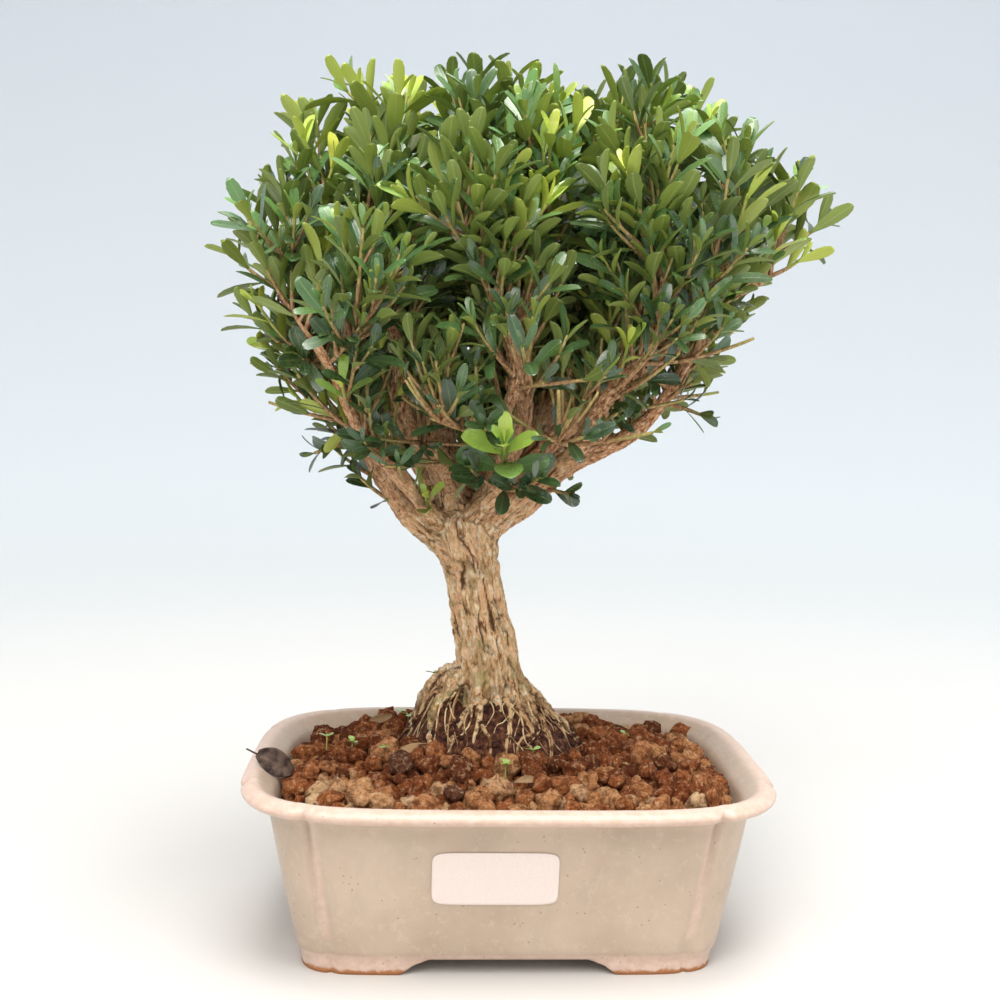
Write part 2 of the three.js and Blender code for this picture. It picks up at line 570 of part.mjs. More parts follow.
// One leaf: narrow at its foot, widest past its middle, blunt at its tip, keeled underneath and arched back.
const LEAF_STATIONS = [
  { at: 0.42, wide: 0.86, keel: 1.1, rise: 0.035 },
  { at: 0.8, wide: 0.84, keel: 1, rise: 0.02 },
];
function leafFrame(foot, stem, out, tilt, size) {
  const way = stem.clone().multiplyScalar(Math.cos(tilt)).addScaledVector(out, Math.sin(tilt)).normalize();
  const face = stem.clone().multiplyScalar(Math.sin(tilt)).addScaledVector(out, -Math.cos(tilt)).normalize();
  const across = vec(0, 0, 0).crossVectors(face, way).normalize();
  return { foot, way, face, across, size };
}
function leafSpot({ foot, way, face, across, size }, along, side, lift) {
  const onRib = foot.clone().addScaledVector(way, along * size);
  return onRib.addScaledVector(across, side).addScaledVector(face, lift);
}

// Small balls that stand for what is already placed, so that later leaves can keep clear of it.
const taken = [];
function isClear(balls, owner) {
  return balls.every((ball) => taken.every((other) => {
    const room = other.owner === owner ? 0.9 * ball.r : other.r + ball.r + CLEARANCE;
    return other.at.distanceToSquared(ball.at) > room * room;
  }));
}
const take = (balls, owner) => taken.push(...balls.map((ball) => ({ ...ball, owner })));
function leafBalls(frame) {
  return [0.2, 0.34, 0.48, 0.62, 0.76, 0.9].flatMap((along) => [-0.62, 0, 0.62].map((side) => {
    const half = LEAF.halfWidth * Math.min(0.95, 0.2 + 1.6 * along, 2.8 * (1.06 - along) + 0.3);
    return { at: leafSpot(frame, along, side * half, 0.02 * frame.size), r: 1.5 };
  }));
}
function stemBalls(stops, from) {
  const balls = [];
  for (let i = 1; i < stops.length; i++)
    for (let k = 0; k <= 8; k++) {
      const at = stops[i - 1].clone().lerp(stops[i], k / 8);
      balls.push({ at, r: TWIG.foot * 0.9 });
    }
  return balls.filter((ball) => ball.at.distanceTo(stops[0]) > from);
}

// A spray's skin: squares along each stem joined by bands, whose open sides leaves and shoots grow from.
function makeSkin() {
  const points = [];
  const faces = [];
  const add = (p) => points.push(p) - 1;
  const quad = ([a, b, c, d]) => faces.push(a, b, c, a, c, d);
  const ring = ({ at, u, v, r }) => [[-1, -1], [1, -1], [1, 1], [-1, 1]].map(([i, j]) =>
    add(at.clone().addScaledVector(u, i * r * 0.75).addScaledVector(v, j * r * 0.75)));
  const sides = (low, high) => low.map((_, j) => [low[j], low[(j + 1) % 4], high[(j + 1) % 4], high[j]]);
  const band = (low, high) => sides(low, high).forEach(quad);
  const leafOn = (frame, rim) => {
    let last = rim;
    for (const { at, wide, keel, rise } of LEAF_STATIONS) {
      const half = LEAF.halfWidth * wide;
      const next = [[-half, 0.15], [half, 0.15], [0, -LEAF.keel * keel]].map(([side, lift]) =>
        add(leafSpot(frame, at, side, rise * frame.size + lift)));
      if (last.length === 4) {
        const [h0, h1, l1, l0] = last;
        faces.push(h1, h0, next[0], h1, next[0], next[1]);
        faces.push(l1, h1, next[1], l1, next[1], next[2]);
        faces.push(l0, l1, next[2], h0, l0, next[2], h0, next[2], next[0]);
      } else
        for (let k = 0; k < 3; k++) {
          const [a, b] = [k, (k + 1) % 3];
          faces.push(last[b], last[a], next[a], last[b], next[a], next[b]);
        }
      last = next;
    }
    const tip = add(leafSpot(frame, 1, 0, -0.02 * frame.size));
    for (let k = 0; k < 3; k++) faces.push(last[(k + 1) % 3], last[k], tip);
  };
  return { points, faces, quad, ring, sides, band, leafOn };
}

// Leaves that stand on a side of a band, and the two that end a stem, where there is room for them.
function sideLeaf(skin, spray, low, high, side, quad) {
  const foot = low.at.clone().lerp(high.at, 0.5);
  const out = outwards(low)[side];
  for (const [tilt, scale] of [[0.95, 1], [0.75, 0.95], [1.15, 0.9], [0.85, 0.75]]) {
    const frame = leafFrame(foot, low.way, out, tilt, LEAF.length * scale);
    if (!isClear(leafBalls(frame), spray.index)) continue;
    take(leafBalls(frame), spray.index);
    skin.leafOn(frame, [quad[3], quad[2], quad[1], quad[0]]);
    return;
  }
  skin.quad(quad);
}
function endLeaves(skin, spray, end, cap) {
  const [e0, e1, e2, e3] = cap;
  const out = end.u.clone().sub(end.v).normalize();
  for (const [turn, rim] of [[1, [e0, e2, e1]], [-1, [e2, e0, e3]]]) {
    const placed = [0.42, 0.6, 0.25].some((tilt) => {
      const frame = leafFrame(end.at, end.way, out.clone().multiplyScalar(turn), tilt, LEAF.length * 0.95);
      const balls = leafBalls(frame);
      if (!isClear(balls, spray.index)) return false;
      take(balls, spray.index);
      skin.leafOn(frame, rim);
      return true;
    });
    if (!placed) skin.faces.push(rim[1], rim[0], rim[2]);
  }
}

// The squares of a main shoot: at its foot, either side of its two leaf nodes, and at its end.
function mainSquares(main, turn) {
  const node = TWIG.node / main.length;
  let near = vec(Math.cos(turn), Math.sin(turn), 0.01);
  return [0, 0.26, 0.5, 0.5 + node, 0.76, 0.76 + node, 1].map((share) => {
    const made = squareOn(main.at(share), main.along(share), near, lerp(TWIG.foot, TWIG.end, share));
    near = made.u;
    return made;
  });
}
function sideSquares(low, high, side, length) {
  const foot = low.at.clone().lerp(high.at, 0.5);
  const out = outwards(low)[side];
  const way = low.way.clone().multiplyScalar(0.8).addScaledVector(out, 0.75).addScaledVector(UP, 0.25);
  way.normalize();
  const near = vec(0, 0, 0).crossVectors(out, low.way).negate();
  return [length - TWIG.node, length].map((far) =>
    squareOn(foot.clone().addScaledVector(way, far), way, near, TWIG.sideEnd));
}

// Sprays: main shoots are all placed first, then side shoots, then leaves, each kept clear of what is there.
function makeSprays(swollenWood) {
  for (const bough of BOUGHS)
    for (let i = 0; i <= 40; i++)
      take([{ at: boughPoint(bough, i / 40), r: boughRadius(bough, i / 40) * 1.1, bough }], "wood");
  const sprays = [];
  for (const tip of sprayTips()) {
    const index = sprays.length;
    for (const { at, bough } of sprayFeet(tip, sprays.map((spray) => spray.main.at(0))).slice(0, 60)) {
      const inwards = at.clone().sub(tip).normalize();
      const main = shoot(at, tip.clone().addScaledVector(inwards, LEAF.length * 0.95));
      const random = seeded(100 + index);
      const squares = mainSquares(main, random() * 2 * Math.PI);
      const balls = stemBalls(squares.map((square) => square.at), 0.6);
      const free = balls.every((ball) => taken.every((other) =>
        (other.bough === bough && ball.at.distanceTo(at) < 2.2 * other.r)
        || other.at.distanceTo(ball.at) > other.r + ball.r + 0.6));
      if (!free || main.length < 16 || main.length > LONGEST_SHOOT) continue;
      take(balls, index);
      sprays.push({ index, main, random, squares });
      break;
    }
  }
  for (const spray of sprays) {
    const [, , low, high] = spray.squares;
    spray.shoots = [1, 3].flatMap((side) => {
      for (const length of [26, 21, 16]) {
        const squares = sideSquares(low, high, side, length * (0.9 + 0.2 * spray.random()));
        const balls = stemBalls([low.at, ...squares.map((square) => square.at)], 4.5);
        if (!isClear(balls, spray.index)) continue;
        take(balls, spray.index);
        return [{ side, squares }];
      }
      return [];
    });
  }
  for (const spray of sprays) {
    const skin = makeSkin();
    const rings = spray.squares.map(skin.ring);
    const [foot] = rings;
    skin.quad([foot[3], foot[2], foot[1], foot[0]]);
    for (const k of [0, 1, 3, 5]) skin.band(rings[k], rings[k + 1]);
    endLeaves(skin, spray, spray.squares[6], rings[6]);
    const upper = skin.sides(rings[4], rings[5]);
    upper.forEach((quad, side) => {
      if (side % 2) sideLeaf(skin, spray, spray.squares[4], spray.squares[5], side, quad);
      else skin.quad(quad);
    });
    skin.sides(rings[2], rings[3]).forEach((quad, side) => {
      const branch = spray.shoots.find((made) => made.side === side);
      if (!branch) return sideLeaf(skin, spray, spray.squares[2], spray.squares[3], side, quad);
      const [low, high] = branch.squares;
      const [near, far] = branch.squares.map(skin.ring);
      skin.band(quad, near);
      skin.sides(near, far).forEach((face, k) => {
        if (k % 2) sideLeaf(skin, spray, low, high, k, face);
        else skin.quad(face);
      });
      endLeaves(skin, spray, high, far);
    });
    const whole = solid(new THREE.BufferGeometry().setFromPoints(skin.points).setIndex(skin.faces));
    const made = largest(whole.subtract(swollenWood));
    const mesh = place(`spray_${String(spray.index + 1).padStart(2, "0")}`, made, "leaf");
    mesh.material.color.lerp(FRESH_LEAF, 0.5 * spray.random());
  }
}

const wood = makeWood();
const swollenWood = makeWood(CLEARANCE);
const rootBall = makeRootBall(swollenWood);
place("pot", makePot(), "glaze");
place("drain_screen_left", makeScreen(-1), "screen");
place("drain_screen_right", makeScreen(1), "screen");
place("label", makeLabel(), "paper");
place("root_ball", rootBall, "compost");
place("gravel", makeGravel(), "gravel");
place("trunk_and_boughs", wood, "bark");
makeSprays(swollenWood);

// The finished tree stands on z = 0 with its overall width and depth centred on the origin.
const extent = new THREE.Box3().setFromObject(planted);
const middle = extent.getCenter(vec(0, 0, 0));
planted.position.set(-middle.x, -middle.y, -extent.min.z);

export default bonsai;
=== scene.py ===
# Harland boxwood bonsai in its glazed pot: the fine surfaces of its pot, soil, wood, shoots and leaves.
import json
import math

import bpy
import numpy as np
from mathutils import Matrix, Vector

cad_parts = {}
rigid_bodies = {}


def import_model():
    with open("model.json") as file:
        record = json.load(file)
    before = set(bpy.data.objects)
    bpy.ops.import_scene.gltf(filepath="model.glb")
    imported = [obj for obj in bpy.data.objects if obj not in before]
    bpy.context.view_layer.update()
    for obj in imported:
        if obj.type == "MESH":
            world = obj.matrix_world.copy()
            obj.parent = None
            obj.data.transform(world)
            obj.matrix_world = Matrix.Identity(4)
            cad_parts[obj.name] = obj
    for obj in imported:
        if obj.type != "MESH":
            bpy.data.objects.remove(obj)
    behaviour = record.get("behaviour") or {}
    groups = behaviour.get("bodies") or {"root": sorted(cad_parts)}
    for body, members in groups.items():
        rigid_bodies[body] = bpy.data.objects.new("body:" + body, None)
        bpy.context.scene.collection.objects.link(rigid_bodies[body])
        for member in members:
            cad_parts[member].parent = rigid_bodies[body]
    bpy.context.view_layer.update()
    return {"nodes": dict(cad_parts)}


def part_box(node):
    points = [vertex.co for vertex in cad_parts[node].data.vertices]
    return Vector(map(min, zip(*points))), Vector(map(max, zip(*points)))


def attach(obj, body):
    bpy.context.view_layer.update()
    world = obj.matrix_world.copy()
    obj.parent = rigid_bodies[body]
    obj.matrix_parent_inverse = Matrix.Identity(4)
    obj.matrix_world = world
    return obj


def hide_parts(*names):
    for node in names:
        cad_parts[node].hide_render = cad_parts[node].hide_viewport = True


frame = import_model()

# Sizes are in millimetres from the pot's centre on the ground, and HOME is that point in the frame.
MM = 0.001
pot_low, pot_high = (np.array(corner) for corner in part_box("pot"))
HOME = np.array([*(pot_low + pot_high)[:2] / 2, pot_low[2]])
UP = np.array([0.0, 0.0, 1.0])
ACROSS = np.array([1.0, 0.0, 0.0])

# Camera: where it stands from the pot's centre, its turn, downward tilt and roll in radians, and its lens.
EYE = np.array([-28.93, -495.31, 209.8])
CAMERA = {"turn": 0.05, "tilt": 0.083, "roll": 0.021, "lens": 45.61}

# Pot: rows of height, inset from the rim's outline, squareness of that outline, and depth of its grooves.
HALF_WIDTH = 101
HALF_DEPTH = 76.5
POT_HEIGHT = 67.6
FOOT_HEIGHT = 5.8
FLOOR_TOP = 12
FILL_EDGE = 62
POT_PROFILE = np.array([
    (0, 24.2, 8.5, 0.8), (6.6, 23.4, 8.5, 0.8), (7.8, 22, 8.5, 1), (10.8, 21.4, 8, 1.6),
    (58.5, 11.4, 5.6, 1.9), (61.4, 9.2, 5.2, 1.6), (62.2, 2.4, 4.4, 1.9), (65, 0, 4.3, 2),
    (POT_HEIGHT, 3.2, 4.3, 1.2), (POT_HEIGHT, 6.6, 4.4, 0.4), (FILL_EDGE, 13.2, 5, 0),
    (FLOOR_TOP, 27.5, 6, 0),
])
RIM_SQUARENESS = 4.4
GROOVE_X = (64, 73.5)
GROOVE_Y = (29, 38)
GROOVE_BELL = 1.364
GROOVE_DEPTH = 1.55
FOOT_TOP = 6.6
POT_ROWS = 112
POT_SIDES = 316
GLAZE_WAVES = 0.22
RECESS = (65, 40.5)
ARCH_FRONT = (27, 43)
ARCH_SIDE = (14, 26)
DRAIN_HOLE = {"radius": 8, "x": 38}
LABEL = {"width": 45, "height": 20.5, "x": -6, "z": 39.4, "gap": 0.25, "thickness": 0.3, "squareness": 9}

# Soil: level with the pot's inner edge, rising to the mound that the trunk stands on.
TRUNK_FOOT = np.array([-8, 14])
MOUND_CENTRE = np.array([-5, 13])
MOUND_REACH = np.array([38, 31])
MOUND_SLOPE = {"shares": [0, 0.5, 0.62, 0.86, 1.0, 1.2], "heights": [84, 83.4, 80, 73, 66.4, 60]}

# Granules: how many, how many of them have few faces, and the least radius and its spread. Each stone is a
# ball of so many rows and sides, and its knobs are noise, each octave with its share and fineness.
GRANULES = {"count": 690, "small": 380, "least": 2.3, "spread": 3.3}
GRIT = {"count": 330, "radii": (0.7, 1.7)}
CRUMBS = {"count": 330, "radii": (0.5, 1.6)}
LARGE_STONE = (10, 14)
SMALL_STONE = (7, 8)
TINY_STONE = (5, 7)
STONE_KNOBS = [(0.44, 1.5), (0.34, 3.2), (0.22, 6.0)]
SETTLING_STEPS = 110
SETTLING_ROOM = (86.2, 61.8)
SETTLING_SINK = 0.25

# Seeds: each kind of piece draws from its own.
SEEDS = {
    "granules": 4, "settling": 7, "small_stones": 8, "grit": 9, "large_stones": 10,
    "crumbs": 12, "crumb_stones": 13, "feeders": 15, "spurs": 61,
    "crown": 27, "leaves": 28, "filling": 33, "seedlings": 51,
}

# Feeder roots: their number, stations and sides, thickness, how far out they reach and how high they arch.
THICK_FEEDERS = {
    "count": 18, "stations": 22, "sides": 7,
    "thick": (0.5, 1.2), "reach": (0.8, 1.08), "arch": (0.0, 1.6),
}
THIN_FEEDERS = {
    "count": 96, "stations": 16, "sides": 5,
    "thick": (0.16, 0.42), "reach": (0.75, 1.16), "arch": (0.0, 1.8),
}

# Wood: the trunk's rings as x, y, z and radius, and each bough as its two radii and its points.
TRUNK = np.array([
    (-6.5, 12, 57, 13), (-6, 12, 74, 16), (-5.4, 12, 82, 14.4), (-5.8, 12, 91, 13), (-7, 11.5, 102, 12.4),
    (-9, 11, 115, 11.6), (-12, 10, 128, 10.8), (-14.5, 9, 140, 11), (-17, 8, 150, 12.6),
    (-18.5, 8, 159, 13.6), (-19, 8, 168, 10.5),
])
BOUGHS = [
    (6.6, 1.8, [
        (-20, 7, 148), (-37, 4, 159), (-48, 0, 177), (-60, -4, 200), (-76, -8, 224), (-90, -8, 250),
    ]),
    (5.8, 1.7, [
        (-20, 6, 158), (-29, -4, 182), (-40, -14, 200), (-43, -24, 222), (-51, -32, 246), (-55, -42, 272),
    ]),
    (8.4, 1.9, [
        (-18, 8, 158), (-26, 14, 186), (-28, 20, 206), (-35, 24, 232), (-34, 26, 258), (-44, 24, 290),
    ]),
    (5.6, 1.7, [
        (-12, 6, 160), (-5, -8, 182), (4, -18, 206), (-1, -26, 230), (2, -32, 252), (8, -38, 280),
    ]),
    (8.0, 1.9, [
        (-12, 8, 158), (4, 12, 182), (18, 18, 208), (32, 22, 228), (43, 26, 250), (46, 28, 286),
    ]),
    (5.0, 1.7, [
        (-8, 6, 164), (13, -6, 192), (30, -14, 206), (50, -20, 221), (70, -26, 243), (94, -22, 256),
    ]),
    (6.8, 1.8, [
        (-12, 8, 157), (4, 6, 166), (24, 4, 183), (44, 2, 194), (62, -2, 214), (76, -2, 236),
    ]),
    (5.2, 1.7, [
        (-20, 10, 156), (-36, 26, 178), (-48, 40, 198), (-66, 46, 222), (-74, 50, 250),
    ]),
    (5.4, 1.7, [
        (-14, 12, 160), (-10, 32, 182), (0, 46, 206), (-2, 56, 236), (4, 56, 268),
    ]),
    (5.0, 1.7, [
        (-10, 10, 160), (16, 28, 182), (38, 44, 206), (62, 48, 226), (78, 52, 252),
    ]),
    (4.4, 1.6, [
        (-14, 2, 160), (-6, -20, 176), (-6, -42, 194), (-2, -54, 216), (-12, -58, 244),
    ]),
    (4.4, 1.6, [
        (-8, 4, 160), (16, -24, 184), (30, -44, 206), (46, -52, 230), (46, -58, 260),
    ]),
    (4.2, 1.6, [
        (-22, 6, 154), (-44, -18, 178), (-58, -38, 200), (-74, -44, 228),
    ]),
    (4.0, 1.6, [
        (-10, 8, 164), (-2, 4, 196), (-12, -2, 232), (-16, -4, 266), (-20, -4, 304),
    ]),
]
BOUGH_CROOK = 1.6
BOUGH_STATIONS = 150
BOUGH_SIDES = 20
BOUGH_FOOT_SIDES = 24
BOUGH_STARTS = 0.2
BOUGH_FOOT_ENDS = 0.26
TRUNK_STEP = 1.2
TRUNK_SIDES = 90
ROOT_SIDES = 14
SKIN_CELL = 0.62
SKIN_EASING = 6
TRUNK_BARK = {"ridges": 14, "plate": 11}
BOUGH_BARK = {"ridges": 8, "plate": 5}
ROOTS = [
    {"bearing": 188, "reach": 31, "thick": 4.8, "droop": 3},
    {"bearing": 222, "reach": 33, "thick": 4.2, "droop": 1.5},
    {"bearing": 252, "reach": 33, "thick": 3.4, "droop": 1},
    {"bearing": 292, "reach": 33, "thick": 3.2, "droop": 1},
    {"bearing": 328, "reach": 35, "thick": 3.6, "droop": 1},
    {"bearing": 2, "reach": 37, "thick": 3.8, "droop": 1.1},
    {"bearing": 56, "reach": 35, "thick": 3.6, "droop": 1},
    {"bearing": 118, "reach": 33, "thick": 3.8, "droop": 1},
]

# Crown: its outline seen from the front as a radius every 30 degrees, its depth, and how its sprays stand:
# turns of the golden angle, seed, nearest reach, its spread, and limit below. Stems keep clear of the rest.
CROWN_CENTRE = np.array([4.0, 0.0, 236.0])
CROWN_RADII = np.array([90, 119, 112, 99, 108, 116, 105, 86, 74, 60, 60, 68])
CROWN_HALF_DEPTH = 92
GOLDEN_ANGLE = 137.508
SPRAY_TIPS = (53, 11, 0.93, 0.09, 0.5)
SHORTEST_SHOOT = 16
LONGEST_SHOOT = 66
CLEARANCE = {"main": 0.6, "side": 0.3}
SPRAY_LEAF = 24
TWIG = {"foot": 1.7, "node": 2.4}
STEM_ROOM = TWIG["foot"] * 0.9
LEAF = {"length": 17, "width": 5.2, "thickness": 0.36}
FOLIAGE_PARTS = 8


# Numbers: draws, noise and blends.
def seeded(seed):
    """Draws from 0 to 1: a 32-bit counter stepped by a fixed odd number, multiplied and mixed by shifts."""
    mask = 0xFFFFFFFF
    state = seed & mask

    def draw():
        nonlocal state
        state = (state + 0x6D2B79F5) & mask
        t = ((state ^ (state >> 15)) * (state | 1)) & mask
        t ^= (t + (((t ^ (t >> 7)) * (t | 61)) & mask)) & mask
        return ((t ^ (t >> 14)) & mask) / 4294967296

    return draw


def lerp(a, b, t):
    """The share t of the way from a to b."""
    return a + (b - a) * t


def unit(v):
    """Vectors over their own length."""
    return v / np.maximum(np.linalg.norm(v, axis=-1, keepdims=True), 1e-9)


def dot(a, b):
    """Products summed over the last axis, which stays."""
    return np.sum(a * b, axis=-1, keepdims=True)


def smooth(low, high, x):
    """0 below low and 1 above high, with the cubic 3t^2 - 2t^3 between them."""
    t = np.clip((x - low) / (high - low), 0, 1)
    return t * t * (3 - 2 * t)


def drawn_at(cells, seed):
    """A draw for each whole-numbered cell: its numbers times large odd ones, joined and mixed by shifts."""
    c = cells.astype(np.int64)
    mixed = (c[..., 0] * 73856093) ^ (c[..., 1] * 19349663) ^ (c[..., 2] * 83492791) ^ (seed * 97531)
    mixed = ((mixed ^ (mixed >> 13)) * 1274126177) & 0xFFFFFFFF
    mixed = ((mixed ^ (mixed >> 15)) * 668265263) & 0xFFFFFFFF
    return ((mixed ^ (mixed >> 16)) & 0xFFFF) / 65535


def noise(p, seed=0):
    """Value noise from 0 to 1: the draws at the eight corners round a point, blended by smooth steps."""
    cell = np.floor(p)
    t = p - cell
    t = t * t * (3 - 2 * t)
    total = 0
    for corner in np.ndindex(2, 2, 2):
        share = np.prod(np.where(corner, t, 1 - t), axis=-1)
        total = total + share * drawn_at(cell + corner, seed)
    return total


def rough(p, seed=0, octaves=3):
    """Noise summed over octaves, each twice as fine and half as strong, brought back to 0 to 1."""
    total = sum(noise(p * 2**k, seed + k) / 2**k for k in range(octaves))
    return total / (2 - 2 ** (1 - octaves))


# Meshes: shapes are rings of points carried along paths, gathered into pieces.
def ring_faces(stations, sides):
    """Quads between neighbouring rings and a face over each end, each corner with its (along, around)."""
    s, j = (index.ravel() for index in np.meshgrid(np.arange(stations - 1), np.arange(sides), indexing="ij"))
    beside = (j + 1) % sides
    quads = np.stack([s * sides + j, s * sides + beside, (s + 1) * sides + beside, (s + 1) * sides + j], -1)
    along = np.stack([s, s, s + 1, s + 1], -1) / (stations - 1)
    around = np.stack([j, j + 1, j + 1, j], -1) / sides
    ring = np.arange(sides)
    ends = np.stack([ring[::-1], ring + (stations - 1) * sides])
    end_maps = np.stack([np.stack([np.full(sides, at), ring / sides], -1) for at in (0.0, 1.0)])
    return [(quads, np.stack([along, around], -1)), (ends, end_maps)]


class Gathered:
    """Points and faces gathered for one piece, with the values that its points carry."""

    def __init__(self):
        self.points = []
        self.faces = []
        self.maps = []
        self.values = {}
        self.count = 0

    def add(self, points, face_sets, **values):
        """Adds copies of one shape: points by copy, and face_sets as (faces, corner maps) of one copy."""
        copies, size = points.shape[0], points.shape[1]
        first = self.count + size * np.arange(copies)
        for faces, maps in face_sets:
            self.faces.append((faces[None] + first[:, None, None]).reshape(-1, faces.shape[-1]))
            self.maps.append(np.broadcast_to(maps, (copies, *maps.shape)).reshape(-1, 2))
        for name, value in values.items():
            width = 3 if np.ndim(value) == 3 and np.shape(value)[-1] == 3 else 1
            shape = (copies, size, 3) if width == 3 else (copies, size)
            self.values.setdefault(name, []).append(np.broadcast_to(value, shape).reshape(-1, width))
        self.points.append(points.reshape(-1, 3))
        self.count += copies * size

    def mesh(self, name):
        """One smooth mesh of all that was gathered, at its place in the frame, with its map and values."""
        mesh = bpy.data.meshes.new(name)
        points = np.concatenate(self.points) * MM + HOME
        mesh.vertices.add(len(points))
        mesh.vertices.foreach_set("co", points.astype(np.float32).ravel())
        corners = np.concatenate([faces.ravel() for faces in self.faces])
        sizes = np.concatenate([np.full(len(faces), faces.shape[-1]) for faces in self.faces])
        mesh.loops.add(len(corners))
        mesh.loops.foreach_set("vertex_index", corners.astype(np.int32))
        mesh.polygons.add(len(sizes))
        mesh.polygons.foreach_set("loop_start", (np.cumsum(sizes) - sizes).astype(np.int32))
        mesh.update(calc_edges=True)
        mesh.polygons.foreach_set("use_smooth", np.ones(len(sizes), bool))
        layer = mesh.uv_layers.new(name="surface_map")
        layer.uv.foreach_set("vector", np.concatenate(self.maps).astype(np.float32).ravel())
        for value_name, parts in self.values.items():
            value = np.concatenate(parts).astype(np.float32)
            kind, field = ("FLOAT_VECTOR", "vector") if value.shape[1] == 3 else ("FLOAT", "value")
            mesh.attributes.new(value_name, kind, "POINT").data.foreach_set(field, value.ravel())
        return mesh

    def piece(self, name, look, replaces=(), rims=None):
        """Makes the piece: its mesh, its look and its body, and hides the parts of the frame that it
        replaces. Leaf pieces give in rims the number of points in a leaf's ring, for the crisp edges between
        the two skins."""
        mesh = self.mesh(name)
        if rims:
            sharpen(mesh, rims)
        mesh.materials.append(look)
        made = placed(name, mesh)
        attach(made, "root")
        if replaces:
            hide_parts(*replaces)
        return made


def sharpen(mesh, sides):
    """Marks as sharp the lines where the two skins of each leaf meet: its points 0 and half way round."""
    ends = np.empty(2 * len(mesh.edges), np.int32)
    mesh.edges.foreach_get("vertices", ends)
    around = ends.reshape(-1, 2) % sides
    sharp = (around[:, 0] == around[:, 1]) & (around[:, 0] % (sides // 2) == 0)
    mesh.edges.foreach_set("use_edge_sharp", sharp)


def placed(name, data):
    """An object that holds the data, linked into the scene."""
    made = bpy.data.objects.new(name, data)
    bpy.context.collection.objects.link(made)
    return made


def frames_along(points):
    """Along paths (..., stations, 3): the way, and two directions square to it that turn the least."""
    way = unit(np.gradient(points, axis=-2))
    level = np.abs(way[..., 0, 2:]) < 0.9
    aside = [unit(np.cross(way[..., 0, :], np.where(level, UP, ACROSS)))]
    for k in range(1, points.shape[-2]):
        here = way[..., k, :]
        aside.append(unit(aside[-1] - here * dot(aside[-1], here)))
    u = np.stack(aside, axis=-2)
    return way, u, np.cross(way, u)


def tubes(points, radii, sides):
    """Round each station of each path, a ring of points at its radius, turned evenly."""
    _, u, v = frames_along(points)
    angle = 2 * np.pi * np.arange(sides)[:, None] / sides
    out = np.cos(angle) * u[..., None, :] + np.sin(angle) * v[..., None, :]
    rings = points[..., None, :] + radii[..., None, None] * out
    return rings.reshape(*points.shape[:-2], -1, 3)


def curve_through(path, u):
    """A smooth curve: between two points, the cubic whose slopes come from those on either side."""
    path = np.asarray(path, float)
    last = len(path) - 1
    at = np.minimum(np.floor(u * last).astype(int), last - 1)
    t = (u * last - at)[:, None]
    a, b, c, d = (path[np.clip(at + k, 0, last)] for k in (-1, 0, 1, 2))
    return b + 0.5 * ((c - a) * t + (2 * a - 5 * b + 4 * c - d) * t**2 + (3 * b - a - 3 * c + d) * t**3)


